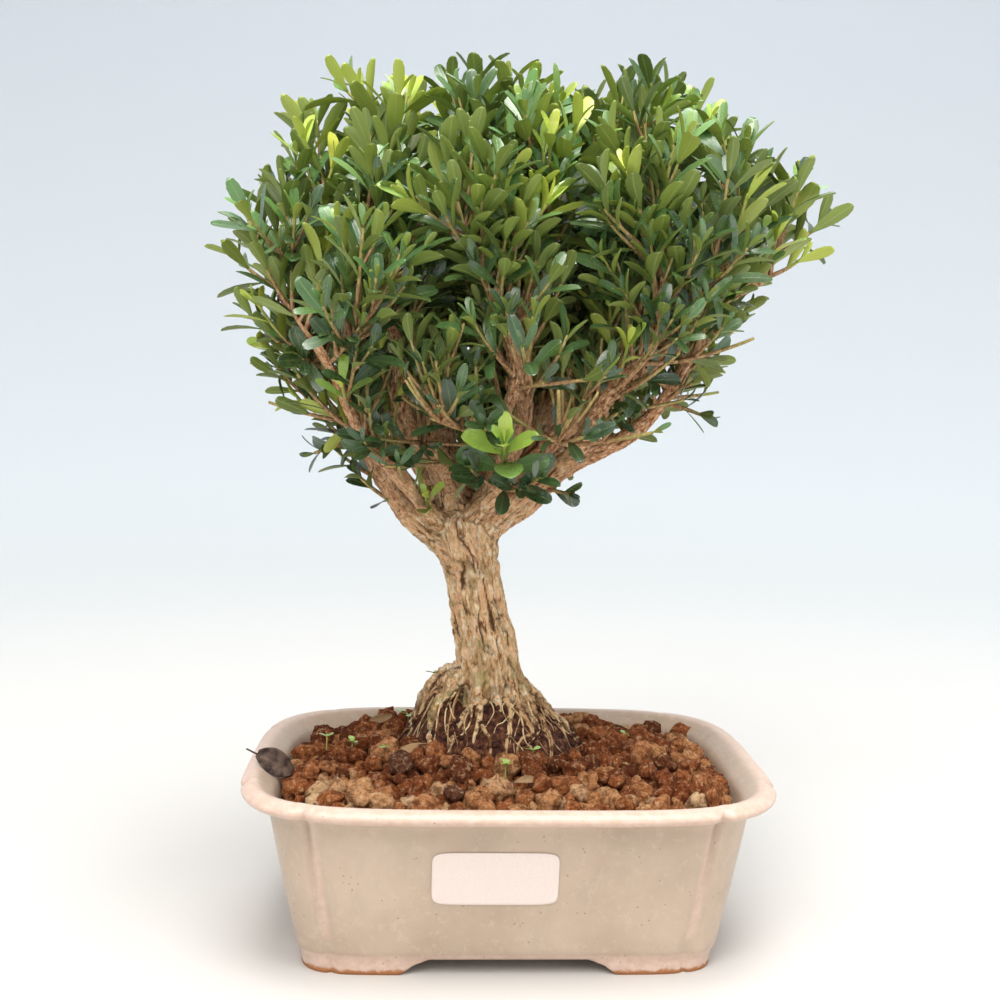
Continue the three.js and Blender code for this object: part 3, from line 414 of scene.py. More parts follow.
# Materials: each look is its own function over a few short ways to make nodes.
class Look:
    """A material's nodes, with one line for each that is made."""

    def __init__(self, name, **sockets):
        self.material = bpy.data.materials.new(name)
        self.material.use_nodes = True
        self.tree = self.material.node_tree
        self.shader = next(n for n in self.tree.nodes if n.type == "BSDF_PRINCIPLED")
        for socket, value in sockets.items():
            self.shader.inputs[socket.replace("_", " ")].default_value = value

    def node(self, kind, inputs=(), **settings):
        """A node with its settings, each input linked where it is a socket and set where it is a value."""
        made = self.tree.nodes.new(kind)
        for key, value in settings.items():
            setattr(made, key, value)
        for key, value in dict(inputs).items():
            if isinstance(value, bpy.types.NodeSocket):
                self.tree.links.new(value, made.inputs[key])
            else:
                made.inputs[key].default_value = value
        return made

    def place(self):
        """The point in the frame, in metres."""
        return self.node("ShaderNodeTexCoord").outputs["Object"]

    def value(self, name):
        """A number that the piece's points carry."""
        return self.node("ShaderNodeAttribute", attribute_name=name).outputs["Fac"]

    def vector(self, name):
        """Three numbers that the piece's points carry."""
        return self.node("ShaderNodeAttribute", attribute_name=name).outputs["Vector"]

    def map(self):
        """The shares along and around a ringed shape, from its map."""
        uv = self.node("ShaderNodeUVMap", uv_map="surface_map").outputs["UV"]
        return self.node("ShaderNodeSeparateXYZ", {"Vector": uv}).outputs

    def scaled(self, vector, scale):
        """A vector with each share multiplied, which stretches the pattern that reads it."""
        return self.node("ShaderNodeMapping", {"Vector": vector, "Scale": scale}).outputs["Vector"]

    def noise(self, vector, scale, detail=3.0, roughness=0.55):
        """Cloudy noise of so many octaves."""
        inputs = {"Vector": vector, "Scale": scale, "Detail": detail, "Roughness": roughness}
        return self.node("ShaderNodeTexNoise", inputs).outputs["Fac"]

    def cells(self, vector, scale):
        """The distance to the nearest of scattered points."""
        return self.node("ShaderNodeTexVoronoi", {"Vector": vector, "Scale": scale}).outputs["Distance"]

    def maths(self, how, a, b=0.0):
        """One operation on two numbers, or on the first alone."""
        return self.node("ShaderNodeMath", {0: a, 1: b}, operation=how).outputs["Value"]

    def range(self, value, low, high, to_low=0.0, to_high=1.0):
        """The value carried from one span to another and held inside it."""
        inputs = {"Value": value, "From Min": low, "From Max": high, "To Min": to_low, "To Max": to_high}
        return self.node("ShaderNodeMapRange", inputs).outputs["Result"]

    def mix(self, share, a, b):
        """The share of the way from one colour to another."""
        return self.node("ShaderNodeMix", {"Factor": share, 6: a, 7: b}, data_type="RGBA").outputs[2]

    def ramp(self, value, *stops):
        """Colours at stops along the value, blended between them."""
        made = self.node("ShaderNodeValToRGB", {"Fac": value})
        elements = made.color_ramp.elements
        while len(elements) < len(stops):
            elements.new(0.5)
        for element, (at, colour) in zip(elements, stops):
            element.position = at
            element.color = colour
        return made.outputs["Color"]

    def finish(self, colour, roughness=None, height=None, distance=None, strength=None):
        """Links the colour and, where they are given, the roughness and a bump as high as the distance."""
        self.tree.links.new(colour, self.shader.inputs["Base Color"])
        if roughness is not None:
            self.tree.links.new(roughness, self.shader.inputs["Roughness"])
        if height is not None:
            sockets = {"Height": height, "Distance": distance, "Strength": strength}
            bump = self.node("ShaderNodeBump", sockets)
            self.tree.links.new(bump.outputs["Normal"], self.shader.inputs["Normal"])
        return self.material


def tone(red, green, blue):
    """A colour given as it looks on a screen, from 0 to 255, turned to the light that it gives back."""
    share = np.array([red, green, blue]) / 255
    linear = np.where(share < 0.04045, share / 12.92, ((share + 0.055) / 1.055) ** 2.4)
    return (*linear.tolist(), 1.0)


def leaf_look():
    """Leathery leaf: deep green and glossy above, olive underneath, a pale midrib, fresh at shoot tips, and
    darker low in the crown, where its draw carries painted shade.
    """
    look = Look("boxwood_leaf", Specular_IOR_Level=0.9)
    along, around, _ = look.map()
    place = look.place()
    half = look.maths("FRACT", look.maths("MULTIPLY", around, 2.0))
    from_rib = look.maths("MULTIPLY", look.maths("ABSOLUTE", look.maths("SUBTRACT", half, 0.5)), 2.0)
    lower = look.maths("GREATER_THAN", around, 0.5)
    rib = look.range(from_rib, 0.05, 0.15, 1.0, 0.0)
    slant = look.maths("SUBTRACT", along, look.maths("MULTIPLY", from_rib, 0.3))
    vein = look.range(look.maths("SINE", look.maths("MULTIPLY", slant, 80.0)), 0.4, 1.0)
    mottle = look.noise(place, 260.0, 3.0)
    draw = look.value("draw")
    fresh = look.value("fresh")
    old = look.mix(draw, tone(32, 54, 30), tone(84, 114, 56))
    old = look.mix(look.range(mottle, 0.35, 0.7, 0.0, 0.4), old, tone(52, 82, 50))
    ripe = look.mix(draw, tone(88, 136, 68), tone(138, 176, 98))
    young = look.mix(draw, tone(168, 200, 82), tone(218, 214, 70))
    upper = look.mix(look.range(fresh, 0.0, 0.5), old, ripe)
    upper = look.mix(look.range(fresh, 0.5, 1.0), upper, young)
    upper = look.mix(look.maths("MULTIPLY", vein, 0.06), upper, tone(140, 170, 110))
    upper = look.mix(look.maths("MULTIPLY", rib, 0.2), upper, tone(150, 176, 104))
    under = look.mix(draw, tone(88, 106, 42), tone(132, 150, 60))
    under = look.mix(fresh, under, tone(190, 202, 72))
    under = look.mix(look.maths("MULTIPLY", rib, 0.35), under, tone(172, 188, 112))
    colour = look.mix(lower, upper, under)
    edge = look.range(from_rib, 0.9, 1.0, 0.0, 0.3)
    colour = look.mix(edge, colour, tone(140, 160, 84))
    foot = look.range(along, 0.0, 0.12, 0.5, 0.0)
    colour = look.mix(foot, colour, tone(150, 160, 84))
    gloss = look.range(mottle, 0.3, 0.7, 0.24, 0.36)
    roughness = look.maths("ADD", gloss, look.maths("MULTIPLY", lower, 0.24))
    height = look.maths("ADD", look.maths("MULTIPLY", vein, 0.2), look.maths("MULTIPLY", rib, -1.0))
    return look.finish(colour, roughness, height, 0.00006, 0.6)


def stem_look():
    """Young stem: olive green at its tip, paler rings at its nodes, ageing to tan bark with fine cracks."""
    look = Look("young_stem", Specular_IOR_Level=0.3)
    place = look.place()
    streak = look.noise(look.scaled(place, (1.0, 1.0, 0.3)), 900.0, 3.0)
    old = look.ramp(streak, (0.3, tone(112, 78, 54)), (0.5, tone(168, 128, 90)), (0.75, tone(212, 178, 138)))
    green = look.mix(streak, tone(138, 146, 66), tone(190, 188, 106))
    colour = look.mix(look.value("fresh"), old, green)
    return look.finish(colour, look.range(streak, 0.3, 0.8, 0.6, 0.85), streak, 0.0002, 0.7)


def bark_look():
    """Corky bark: straw and tan ridges over cracks darkened by their own bark and by painted shade, green
    lichen low down, redder on the boughs.
    """
    look = Look("corky_bark", Specular_IOR_Level=0.2)
    grain = look.vector("grain")
    place = look.place()
    fibre = look.noise(look.scaled(grain, (1.0, 1.0, 0.36)), 0.6, 8.0, 0.74)
    patch = look.noise(look.scaled(grain, (1.0, 1.0, 0.4)), 0.19, 3.0)
    blotch = look.noise(place, 210.0, 3.0)
    ridge = look.ramp(
        fibre, (0.36, tone(104, 64, 40)), (0.42, tone(194, 146, 102)), (0.5, tone(236, 194, 144)),
        (0.6, tone(255, 240, 210)),
    )
    ridge = look.mix(look.range(patch, 0.52, 0.57, 0.0, 0.6), ridge, tone(246, 196, 150))
    ridge = look.mix(look.range(patch, 0.47, 0.4, 0.0, 0.45), ridge, tone(166, 138, 90))
    ridge = look.mix(look.range(blotch, 0.54, 0.68, 0.0, 0.4), ridge, tone(150, 128, 84))
    flake = look.noise(look.scaled(grain, (1.0, 1.0, 0.5)), 1.1, 6.0, 0.75)
    upper = look.ramp(
        flake, (0.36, tone(112, 66, 44)), (0.45, tone(192, 134, 94)), (0.54, tone(230, 178, 134)),
        (0.64, tone(255, 230, 194)),
    )
    ridge = look.mix(look.value("upper"), ridge, upper)
    height = look.node("ShaderNodeSeparateXYZ", {"Vector": place}).outputs["Z"]
    low = look.range(height, 0.075, 0.135, 1.0, 0.0)
    spots = look.range(look.noise(place, 120.0, 4.0), 0.52, 0.62)
    lichen = look.maths("MULTIPLY", look.maths("MULTIPLY", low, spots), 0.65)
    ridge = look.mix(lichen, ridge, tone(150, 148, 78))
    # The cracks darken with their depth: the darker bark inside them, and painted shade.
    depth = look.value("depth")
    colour = look.mix(look.range(depth, 0.25, 1.0, 0.0, 0.92), ridge, tone(80, 46, 26))
    soiled = look.range(look.noise(place, 260.0, 5.0, 0.65), 0.46, 0.54)
    soiled = look.maths("MULTIPLY", soiled, look.range(height, 0.076, 0.098, 0.85, 0.0))
    colour = look.mix(soiled, colour, tone(78, 48, 32))
    fine = look.maths("MULTIPLY", look.noise(place, 1500.0, 3.0), 0.4)
    skin = look.maths("ADD", fibre, fine)
    return look.finish(colour, look.range(fibre, 0.3, 0.7, 0.94, 0.8), skin, 0.0014, 1.0)


def root_look():
    """Surface roots: pale straw to brown bark with dirt along them."""
    look = Look("feeder_root", Specular_IOR_Level=0.2)
    grime = look.noise(look.place(), 330.0, 4.0)
    clean = look.mix(look.value("draw"), tone(160, 116, 76), tone(232, 204, 158))
    colour = look.mix(look.range(grime, 0.48, 0.62), clean, tone(104, 70, 44))
    return look.finish(colour, look.range(grime, 0.3, 0.7, 0.75, 0.95), grime, 0.0003, 0.8)


def gravel_look():
    """Baked clay granules: rust brown, tan, cream and a few dark, with a porous crumbly skin, painted shade
    in its pits and hollows, and pale dust with painted highlights on its knobs.
    """
    look = Look("clay_granule", Specular_IOR_Level=0.12)
    place = look.place()
    draw = look.value("draw")
    base = look.ramp(
        draw, (0.0, tone(116, 76, 58)), (0.06, tone(118, 62, 34)), (0.3, tone(156, 86, 48)),
        (0.5, tone(184, 112, 66)), (0.7, tone(218, 156, 104)), (1.0, tone(244, 206, 160)),
    )
    crumb = look.noise(place, 520.0, 7.0, 0.78)
    hollows = look.noise(place, 240.0, 3.0)
    # Painted shade in the pits, where the crumbly bump is low, and a painted highlight on its tops.
    colour = look.mix(look.range(crumb, 0.38, 0.5, 0.75, 0.0), base, tone(78, 34, 16))
    colour = look.mix(look.range(crumb, 0.53, 0.62, 0.0, 0.55), colour, tone(246, 204, 156))
    # Painted shade in the hollows, which the bump sinks too.
    colour = look.mix(look.range(hollows, 0.38, 0.48, 0.6, 0.0), colour, tone(88, 42, 22))
    # Pale dust and painted highlights on the knobs of the paler granules.
    dust_and_highlight = look.maths("MULTIPLY", look.range(crumb, 0.56, 0.64), look.range(draw, 0.5, 0.9, 0.1, 0.65))
    colour = look.mix(dust_and_highlight, colour, tone(250, 226, 194))
    height = look.maths("ADD", crumb, look.maths("MULTIPLY", hollows, 0.8))
    return look.finish(colour, look.range(crumb, 0.3, 0.7, 0.98, 0.86), height, 0.0026, 1.0)


def compost_look():
    """Moist dark compost with fine red-brown crumbs and a few glints."""
    look = Look("compost", Specular_IOR_Level=0.35)
    place = look.place()
    crumb = look.noise(place, 420.0, 6.0, 0.75)
    colour = look.ramp(
        crumb, (0.36, tone(32, 16, 10)), (0.5, tone(82, 44, 28)), (0.6, tone(124, 76, 50)),
        (0.74, tone(196, 150, 112)),
    )
    return look.finish(colour, look.range(crumb, 0.3, 0.7, 0.95, 0.6), crumb, 0.002, 1.0)


def glaze_look():
    """Grey-beige glaze with light flecks and brown specks, pink on its edges, over a bare foot rim."""
    look = Look("cream_glaze", Specular_IOR_Level=0.5)
    place = look.place()
    cloud = look.noise(place, 24.0, 4.0, 0.6)
    fine = look.noise(place, 300.0, 4.0, 0.65)
    runs = look.noise(look.scaled(place, (1.0, 1.0, 0.22)), 120.0, 3.0)
    tones = tone(176, 153, 133), tone(188, 166, 146), tone(198, 176, 156)
    base = look.ramp(cloud, (0.32, tones[0]), (0.5, tones[1]), (0.68, tones[2]))
    base = look.mix(look.range(runs, 0.48, 0.72, 0.0, 0.4), base, tone(172, 158, 138))
    base = look.mix(look.range(fine, 0.54, 0.68, 0.0, 0.4), base, tone(206, 188, 170))
    specks = look.range(look.cells(place, 380.0), 0.1, 0.2, 1.0, 0.0)
    some = look.range(look.noise(place, 150.0, 2.0), 0.54, 0.6)
    specks = look.maths("MULTIPLY", look.maths("MULTIPLY", specks, some), 0.55)
    base = look.mix(specks, base, tone(140, 106, 80))
    edge = look.maths("MULTIPLY", look.value("edge"), look.range(fine, 0.3, 0.6, 0.8, 1.0))
    pink = look.mix(look.range(fine, 0.4, 0.6), tone(212, 180, 162), tone(218, 192, 176))
    pink = look.mix(look.maths("MULTIPLY", specks, 1.4), pink, tone(170, 120, 88))
    colour = look.mix(look.maths("MULTIPLY", edge, 0.9), base, pink)
    height = look.node("ShaderNodeSeparateXYZ", {"Vector": place}).outputs["Z"]
    ragged = look.maths("ADD", height, look.range(fine, 0.3, 0.7, -0.0008, 0.0008))
    bare = look.range(ragged, 0.0012, 0.0022, 1.0, 0.0)
    colour = look.mix(bare, colour, tone(176, 118, 74))
    gloss = look.maths("MAXIMUM", look.range(fine, 0.3, 0.7, 0.3, 0.46), look.maths("MULTIPLY", bare, 0.85))
    skin = look.maths("ADD", look.maths("MULTIPLY", cloud, 2.0), look.noise(place, 700.0, 2.0))
    return look.finish(colour, gloss, skin, 0.00028, 0.5)


def paper_look():
    """Blank glossy paper with a faint fibre."""
    look = Look("blank_paper", Specular_IOR_Level=0.5)
    fibre = look.noise(look.scaled(look.place(), (1.0, 1.0, 3.0)), 1400.0, 3.0)
    colour = look.mix(look.range(fibre, 0.4, 0.6), tone(229, 213, 205), tone(235, 220, 212))
    return look.finish(colour, look.range(fibre, 0.3, 0.7, 0.3, 0.42), fibre, 0.00003, 0.4)


def screen_look():
    """Dark green moulded plastic with a worn, slightly grained skin."""
    look = Look("screen_plastic", Specular_IOR_Level=0.4)
    grain = look.noise(look.place(), 1200.0, 3.0)
    colour = look.mix(grain, tone(34, 48, 36), tone(52, 68, 52))
    return look.finish(colour, look.range(grain, 0.3, 0.7, 0.45, 0.65), grain, 0.0001, 0.5)


def dry_leaf_look():
    """A withered leaf: dull brown, darker in blotches, with its midrib showing."""
    look = Look("withered_leaf", Specular_IOR_Level=0.2)
    _, around, _ = look.map()
    half = look.maths("FRACT", look.maths("MULTIPLY", around, 2.0))
    rib = look.range(look.maths("ABSOLUTE", look.maths("SUBTRACT", half, 0.5)), 0.02, 0.09, 1.0, 0.0)
    blotch = look.noise(look.place(), 260.0, 4.0)
    dark = look.mix(look.range(blotch, 0.4, 0.6), tone(46, 36, 34), tone(104, 86, 76))
    pale = look.mix(blotch, tone(150, 116, 82), tone(196, 160, 116))
    colour = look.mix(look.value("draw"), dark, pale)
    rib = look.maths("MULTIPLY", rib, look.range(look.value("draw"), 0.0, 1.0, 0.1, 0.5))
    colour = look.mix(rib, colour, tone(170, 136, 100))
    return look.finish(colour, look.range(blotch, 0.3, 0.7, 0.7, 0.9), blotch, 0.0004, 0.8)


# Pot: its outline at every height is a squared ellipse with a groove on each side of every corner.
def arch_height(x, y):
    """The foot's lower edge: at full foot height over each arch, falling to the ground in a cloud curve."""

    def rise(across, top, foot):
        """The foot height times a smooth step from foot to top, with a dip of a squared sine half way."""
        t = np.clip((foot - np.abs(across)) / (foot - top), 0, 1)
        return FOOT_HEIGHT * np.clip(1.16 * smooth(0, 1, t) - 0.12 * np.sin(2 * np.pi * t) ** 2, 0, 1)

    return np.maximum(rise(x, *ARCH_FRONT), rise(y, *ARCH_SIDE))


def even_turns(count):
    """Angles round the rim's outline that lie evenly along it."""
    fine = np.linspace(0, 2 * np.pi, 4001)
    x, y = squared_ellipse(fine, HALF_WIDTH, HALF_DEPTH, RIM_SQUARENESS)
    run = np.concatenate([[0], np.cumsum(np.hypot(np.diff(x), np.diff(y)))])
    return np.interp(np.linspace(0, run[-1], count, endpoint=False), run, fine)


def squared_ellipse(angle, a, b, power):
    """|x/a|^n + |y/b|^n = 1 reached in each direction."""
    c, s = np.cos(angle), np.sin(angle)
    reach = (np.abs(c) ** power + np.abs(s) ** power) ** (-1 / power)
    return a * reach * c, b * reach * s


def groove_pull(x, y, a, b, z):
    """How much of a groove's depth a point has: a bell round the line that each groove runs on."""
    share = z / POT_HEIGHT
    gx = np.minimum(lerp(*GROOVE_X, share), 0.9 * a)
    gy = np.minimum(lerp(*GROOVE_Y, share), 0.68 * b)
    long_side = smooth(-0.06, 0.06, np.abs(y / b) - np.abs(x / a))
    bell_x = np.exp(-(((np.abs(x) - gx) / GROOVE_BELL) ** 2))
    bell_y = np.exp(-(((np.abs(y) - gy) / GROOVE_BELL) ** 2))
    return bell_x * long_side, bell_y * (1 - long_side)


def pot_piece(look):
    """The profile's rows, resampled evenly, rounded by a moving mean, each laid round the plan outline."""
    run = np.concatenate([[0], np.cumsum(np.hypot(*np.diff(POT_PROFILE[:, :2], axis=0).T))])
    even = np.linspace(0, run[-1], POT_ROWS)
    rows = np.stack([np.interp(even, run, column) for column in POT_PROFILE.T], -1)
    soft = rows.copy()
    soft[1:-1] = 0.25 * rows[:-2] + 0.5 * rows[1:-1] + 0.25 * rows[2:]
    soft[2:-2] = 0.25 * soft[1:-3] + 0.5 * soft[2:-2] + 0.25 * soft[3:-1]
    z, inset, power, groove = (column[:, None] for column in soft.T)
    angle = even_turns(POT_SIDES)[None]
    a, b = HALF_WIDTH - inset, HALF_DEPTH - inset
    x, y = squared_ellipse(angle, a, b, power)
    pull_x, pull_y = groove_pull(x, y, a, b, z)
    y = y - np.sign(y) * groove * GROOVE_DEPTH * pull_x
    x = x - np.sign(x) * groove * GROOVE_DEPTH * pull_y
    lifted = np.where(z < FOOT_TOP, lerp(arch_height(x, y), FOOT_TOP, np.clip(z / FOOT_TOP, 0, 1)), z)
    outer = np.stack([x, y, np.broadcast_to(lifted, x.shape)], -1)
    outer += GLAZE_WAVES * (rough(outer / 16, 3, 2)[..., None] - 0.5) * unit(outer * (1, 1, 0))
    fx, fy = squared_ellipse(angle[0], *RECESS, 4)
    foot = np.stack([fx, fy, arch_height(fx, fy)], -1)
    recess = foot * (1, 1, 0) + (0, 0, FOOT_HEIGHT)
    inwards = [recess * (k, k, 1) for k in (0.02, 0.5, 0.985)]
    lip = [lerp(foot, outer[0], k) for k in (0.06, 0.94)]
    floor = [outer[-1] * (k, k, 1) for k in (0.97, 0.6, 0.02)]
    rings = np.concatenate([np.stack([*inwards, recess, foot, *lip]), outer, np.stack(floor)])
    row_edge = smooth(60.5, 63.5, z) * smooth(8, 1, np.abs(inset - 2)) + smooth(8.6, 7.0, z)
    pull = pull_x + pull_y
    beside = np.clip(4 * pull * (1 - pull), 0, 1)
    edge = np.clip(row_edge + 0.9 * beside * smooth(11, 16, z) * smooth(63, 60, z), 0, 1)
    edge = np.concatenate([np.zeros((7, angle.size)), edge, np.zeros((3, angle.size))])
    pot = Gathered()
    pot.add(rings.reshape(1, -1, 3), ring_faces(len(rings), angle.size), edge=edge.reshape(1, -1))
    made = pot.piece("glazed_pot", look, ["pot"])
    return with_drain_holes(made)


def with_drain_holes(made):
    """Cuts the two round drain holes through the pot's floor."""
    cutters = Gathered()
    z = np.array([FOOT_HEIGHT - 3, FLOOR_TOP + 3])
    paths = np.array([[(side * DRAIN_HOLE["x"], 0, at) for at in z] for side in (-1, 1)], float)
    radii = np.full((2, 2), float(DRAIN_HOLE["radius"]))
    cutters.add(tubes(paths, radii, 48), ring_faces(2, 48), edge=np.zeros((2, 96)))
    cutter = placed("drain_cutter", cutters.mesh("drain_cutter"))
    cut = made.modifiers.new("drain_holes", "BOOLEAN")
    cut.operation = "DIFFERENCE"
    cut.object = cutter
    cut.solver = "EXACT"
    kept = bpy.data.meshes.new_from_object(made.evaluated_get(bpy.context.evaluated_depsgraph_get()))
    made.modifiers.clear()
    made.data = kept
    bpy.data.objects.remove(cutter)
    return made


def front_wall(x, z):
    """How far forward the pot's front wall stands at x and z."""
    rows = POT_PROFILE[:6]
    inset = np.interp(z, rows[:, 0], rows[:, 1])
    power = np.interp(z, rows[:, 0], rows[:, 2])
    a, b = HALF_WIDTH - inset, HALF_DEPTH - inset
    return -b * (1 - np.abs(x / a) ** power) ** (1 / power)


def label_piece(look):
    """A sheet bent to the wall: rounded rectangles shrinking to its middle, in front and then behind."""
    angle = 2 * np.pi * np.arange(96) / 96
    u, v = squared_ellipse(angle, 1, 1, LABEL["squareness"])
    rings = []
    shares = [
        (0.02, 1), (0.5, 1), (0.9, 1), (0.985, 1), (1, 0.55), (1, 0.3), (0.985, 0), (0.5, 0), (0.02, 0),
    ]
    for share, front in shares[::-1]:
        x = LABEL["x"] + u * share * LABEL["width"] / 2
        z = LABEL["z"] + v * share * LABEL["height"] / 2
        y = front_wall(x, z) - LABEL["gap"] - front * LABEL["thickness"]
        rings.append(np.stack([x, y, z], -1))
    sheet = Gathered()
    sheet.add(np.stack(rings).reshape(1, -1, 3), ring_faces(len(rings), len(angle)))
    return sheet.piece("blank_label", look, ["label"])


# Soil: the mound and its compost, the bed, and the loose granules that lie on it.
def soil_height(x, y):
    """Level at the pot's edge, rising a little inwards and in a low swell round the mound."""
    to_edge = np.minimum(1, np.hypot(x / 85, y / 60.5))
    return FILL_EDGE + 4.5 * (1 - to_edge**3) + 1.5 * np.exp(-2 * (mound_share(x, y) - 1) ** 2)


def mound_share(x, y):
    """How far out a place lies on the mound: 0 at its centre and 1 where it meets the gravel."""
    return np.hypot((x - MOUND_CENTRE[0]) / MOUND_REACH[0], (y - MOUND_CENTRE[1]) / MOUND_REACH[1])


def mound_height(x, y):
    """The root ball's top: level under the trunk, then a steep cloddy slope to the gravel round it."""
    slope = np.interp(mound_share(x, y), MOUND_SLOPE["shares"], MOUND_SLOPE["heights"])
    spot = np.stack([x, y, np.zeros_like(x)], -1)
    knoll = 12 * np.exp(-(((x + 27) / 7) ** 2) - ((y - 9) / 10) ** 2)
    front = 4.5 * np.exp(-(((x + 5) / 20) ** 2) - ((y + 7) / 8) ** 2)
    return slope + knoll + front + 3.4 * (rough(spot / 5, 21) - 0.5) + 2.0 * (rough(spot / 1.7, 22, 2) - 0.5)


def compost_piece(look):
    """Rings round the mound's centre: its rough top, then down the root ball to its flat bottom."""
    angle = 2 * np.pi * np.arange(150) / 150
    flat = np.stack([np.cos(angle), np.sin(angle)], -1) * MOUND_REACH
    rings = []
    for share, z in [(0.02, 20), (0.9, 20), (1.03, 21.5), (1.17, 39), (1.16, 42), (1.04, 58)]:
        rings.append(np.column_stack([MOUND_CENTRE + share * flat, np.full(len(angle), z)]))
    for share in np.linspace(1.1, 0.02, 52):
        spot = MOUND_CENTRE + share * flat
        rings.append(np.column_stack([spot, mound_height(*spot.T)]))
    mound = Gathered()
    mound.add(np.stack(rings).reshape(1, -1, 3), ring_faces(len(rings), len(angle)))
    return mound.piece("root_ball_compost", look, ["root_ball"])


def bed_rings():
    """The gravel below the loose granules: rings from the middle of its top out to the wall and down."""
    angle = even_turns(140)
    wall_x, wall_y = squared_ellipse(angle, HALF_WIDTH - 15, HALF_DEPTH - 15, 5)
    foot_x, foot_y = squared_ellipse(angle, HALF_WIDTH - 29, HALF_DEPTH - 29, 6)
    rings = []
    for share, z in [(0.02, 14), (1, 14)]:
        rings.append(np.stack([foot_x * share, foot_y * share, np.full(len(angle), z)], -1))
    for share in (1, 0.97, *np.linspace(0.93, 0.02, 26)):
        x, y = wall_x * share, wall_y * share
        lumps = 2.6 * rough(np.stack([x, y, 0 * x], -1) / 4, 31)
        rings.append(np.stack([x, y, soil_height(x, y) - 7.5 + lumps], -1))
    return np.stack(rings)


def settled_spots(count, radii):
    """Granules that fall and push each other apart: at each step every one moves by a share of its overlaps,
    sinks a little, and is kept off the mound, inside the wall and above the bed."""
    rng = np.random.default_rng(SEEDS["settling"])
    spots = np.empty((count, 3))
    spots[:, 0] = rng.uniform(-84, 84, count)
    spots[:, 1] = rng.uniform(-60, 60, count)
    spots[:, 2] = FILL_EDGE + 6 * rng.random(count)
    reach = radii[:, None] + radii[None]
    for _ in range(SETTLING_STEPS):
        apart = spots[:, None] - spots[None]
        far = np.linalg.norm(apart, axis=-1) + np.eye(count) * 99
        push = np.clip(0.9 * reach - far, 0, None) / far
        spots += 0.3 * np.clip(np.sum(apart * push[..., None], axis=1), -3, 3)
        spots[:, 2] -= SETTLING_SINK
        off = (spots[:, :2] - MOUND_CENTRE) / (MOUND_REACH + 0.5 * radii[:, None])
        inside = np.clip(1.0 - np.linalg.norm(off, axis=1), 0, 1)
        spots[:, :2] += 16 * inside[:, None] * unit(off)
        room = [half - 1.25 * radii for half in SETTLING_ROOM]
        full = (np.abs(spots[:, 0] / room[0]) ** 5 + np.abs(spots[:, 1] / room[1]) ** 5) ** 0.2
        spots[:, :2] /= np.maximum(1, full)[:, None]
        bed = soil_height(spots[:, 0], spots[:, 1]) - 5 + 0.55 * radii
        spots[:, 2] = np.maximum(spots[:, 2], bed)
    return spots


def stones(spots, radii, seed, stations, sides):
    """Each stone is a ball cut back by random planes and made knobbly by noise at three sizes."""
    rng = np.random.default_rng(seed)
    rise = np.linspace(-1.36, 1.36, stations)
    turn = 2 * np.pi * np.arange(sides) / sides
    out = np.stack([
        np.outer(np.cos(rise), np.cos(turn)), np.outer(np.cos(rise), np.sin(turn)),
        np.outer(np.sin(rise), np.ones(sides)),
    ], -1).reshape(-1, 3)
    planes = unit(rng.normal(size=(len(spots), 9, 3)))
    depth = rng.uniform(0.6, 1.0, (len(spots), 9, 1))
    facing = np.einsum("pk,sfk->sfp", out, planes)
    flat = np.min(np.where(facing > 0.15, depth / np.maximum(facing, 0.15), 9), axis=1)
    shift = rng.uniform(0, 90, (len(spots), 1, 3))
    lumps = sum(share * noise(out[None] * fine + shift, seed + k)
                for k, (share, fine) in enumerate(STONE_KNOBS))
    reach = np.minimum(flat, 1.12) * (0.54 + 1.04 * lumps)
    axes = np.stack([rng.uniform(0.95, 1.35, len(spots)), rng.uniform(0.8, 1.1, len(spots)),
                     rng.uniform(0.72, 1.0, len(spots))], -1)
    shape = out[None] * reach[..., None] * axes[:, None] * radii[:, None, None]
    turned = turned_at_random(rng, len(spots))
    return np.einsum("spk,skj->spj", shape, turned) + spots[:, None]


def turned_at_random(rng, count):
    """A turn for each copy: two random directions made square to each other, and their cross product."""
    a = unit(rng.normal(size=(count, 3)))
    b = unit(np.cross(a, rng.normal(size=(count, 3))))
    return np.stack([a, b, np.cross(a, b)], axis=1)


def gravel_pieces(bed_look, look):
    """The bed, then large and small granules settled over it, with grit between them."""
    bed = Gathered()
    rings = bed_rings()
    bed.add(rings.reshape(1, -1, 3), ring_faces(*rings.shape[:2]))
    bed.piece("gravel_bed", bed_look, ["gravel"])
    rng = np.random.default_rng(SEEDS["granules"])
    count, small = GRANULES["count"], GRANULES["small"]
    radii = np.sort(GRANULES["least"] + GRANULES["spread"] * rng.beta(1.4, 2.7, count))
    spots = settled_spots(count, radii)
    draw = 0.34 + 0.2 * rng.normal(size=count) + 0.36 * smooth(-20, -56, spots[:, 1])
    draw = np.clip(draw, 0.05, 0.94) * (rng.random(count) > 0.008)
    granules = Gathered()
    sorts = [
        (slice(0, small), "small_stones", SMALL_STONE),
        (slice(small, count), "large_stones", LARGE_STONE),
    ]
    for part, sort, ball in sorts:
        shapes = stones(spots[part], radii[part], SEEDS[sort], *ball)
        granules.add(shapes, ring_faces(*ball), draw=draw[part, None])
    grit = GRIT["count"]
    grit_radii = rng.uniform(*GRIT["radii"], grit)
    x, y = rng.uniform(-80, 80, grit), rng.uniform(-57, 57, grit)
    z = soil_height(x, y) - 2.2 + rng.uniform(0, 1.5, grit)
    tone_of = np.clip(0.35 + 0.22 * rng.normal(size=grit), 0.05, 1)
    bits = stones(np.stack([x, y, z], -1), grit_radii, SEEDS["grit"], *TINY_STONE)
    granules.add(bits, ring_faces(*TINY_STONE), draw=tone_of[:, None])
    granules.piece("clay_granules", look)


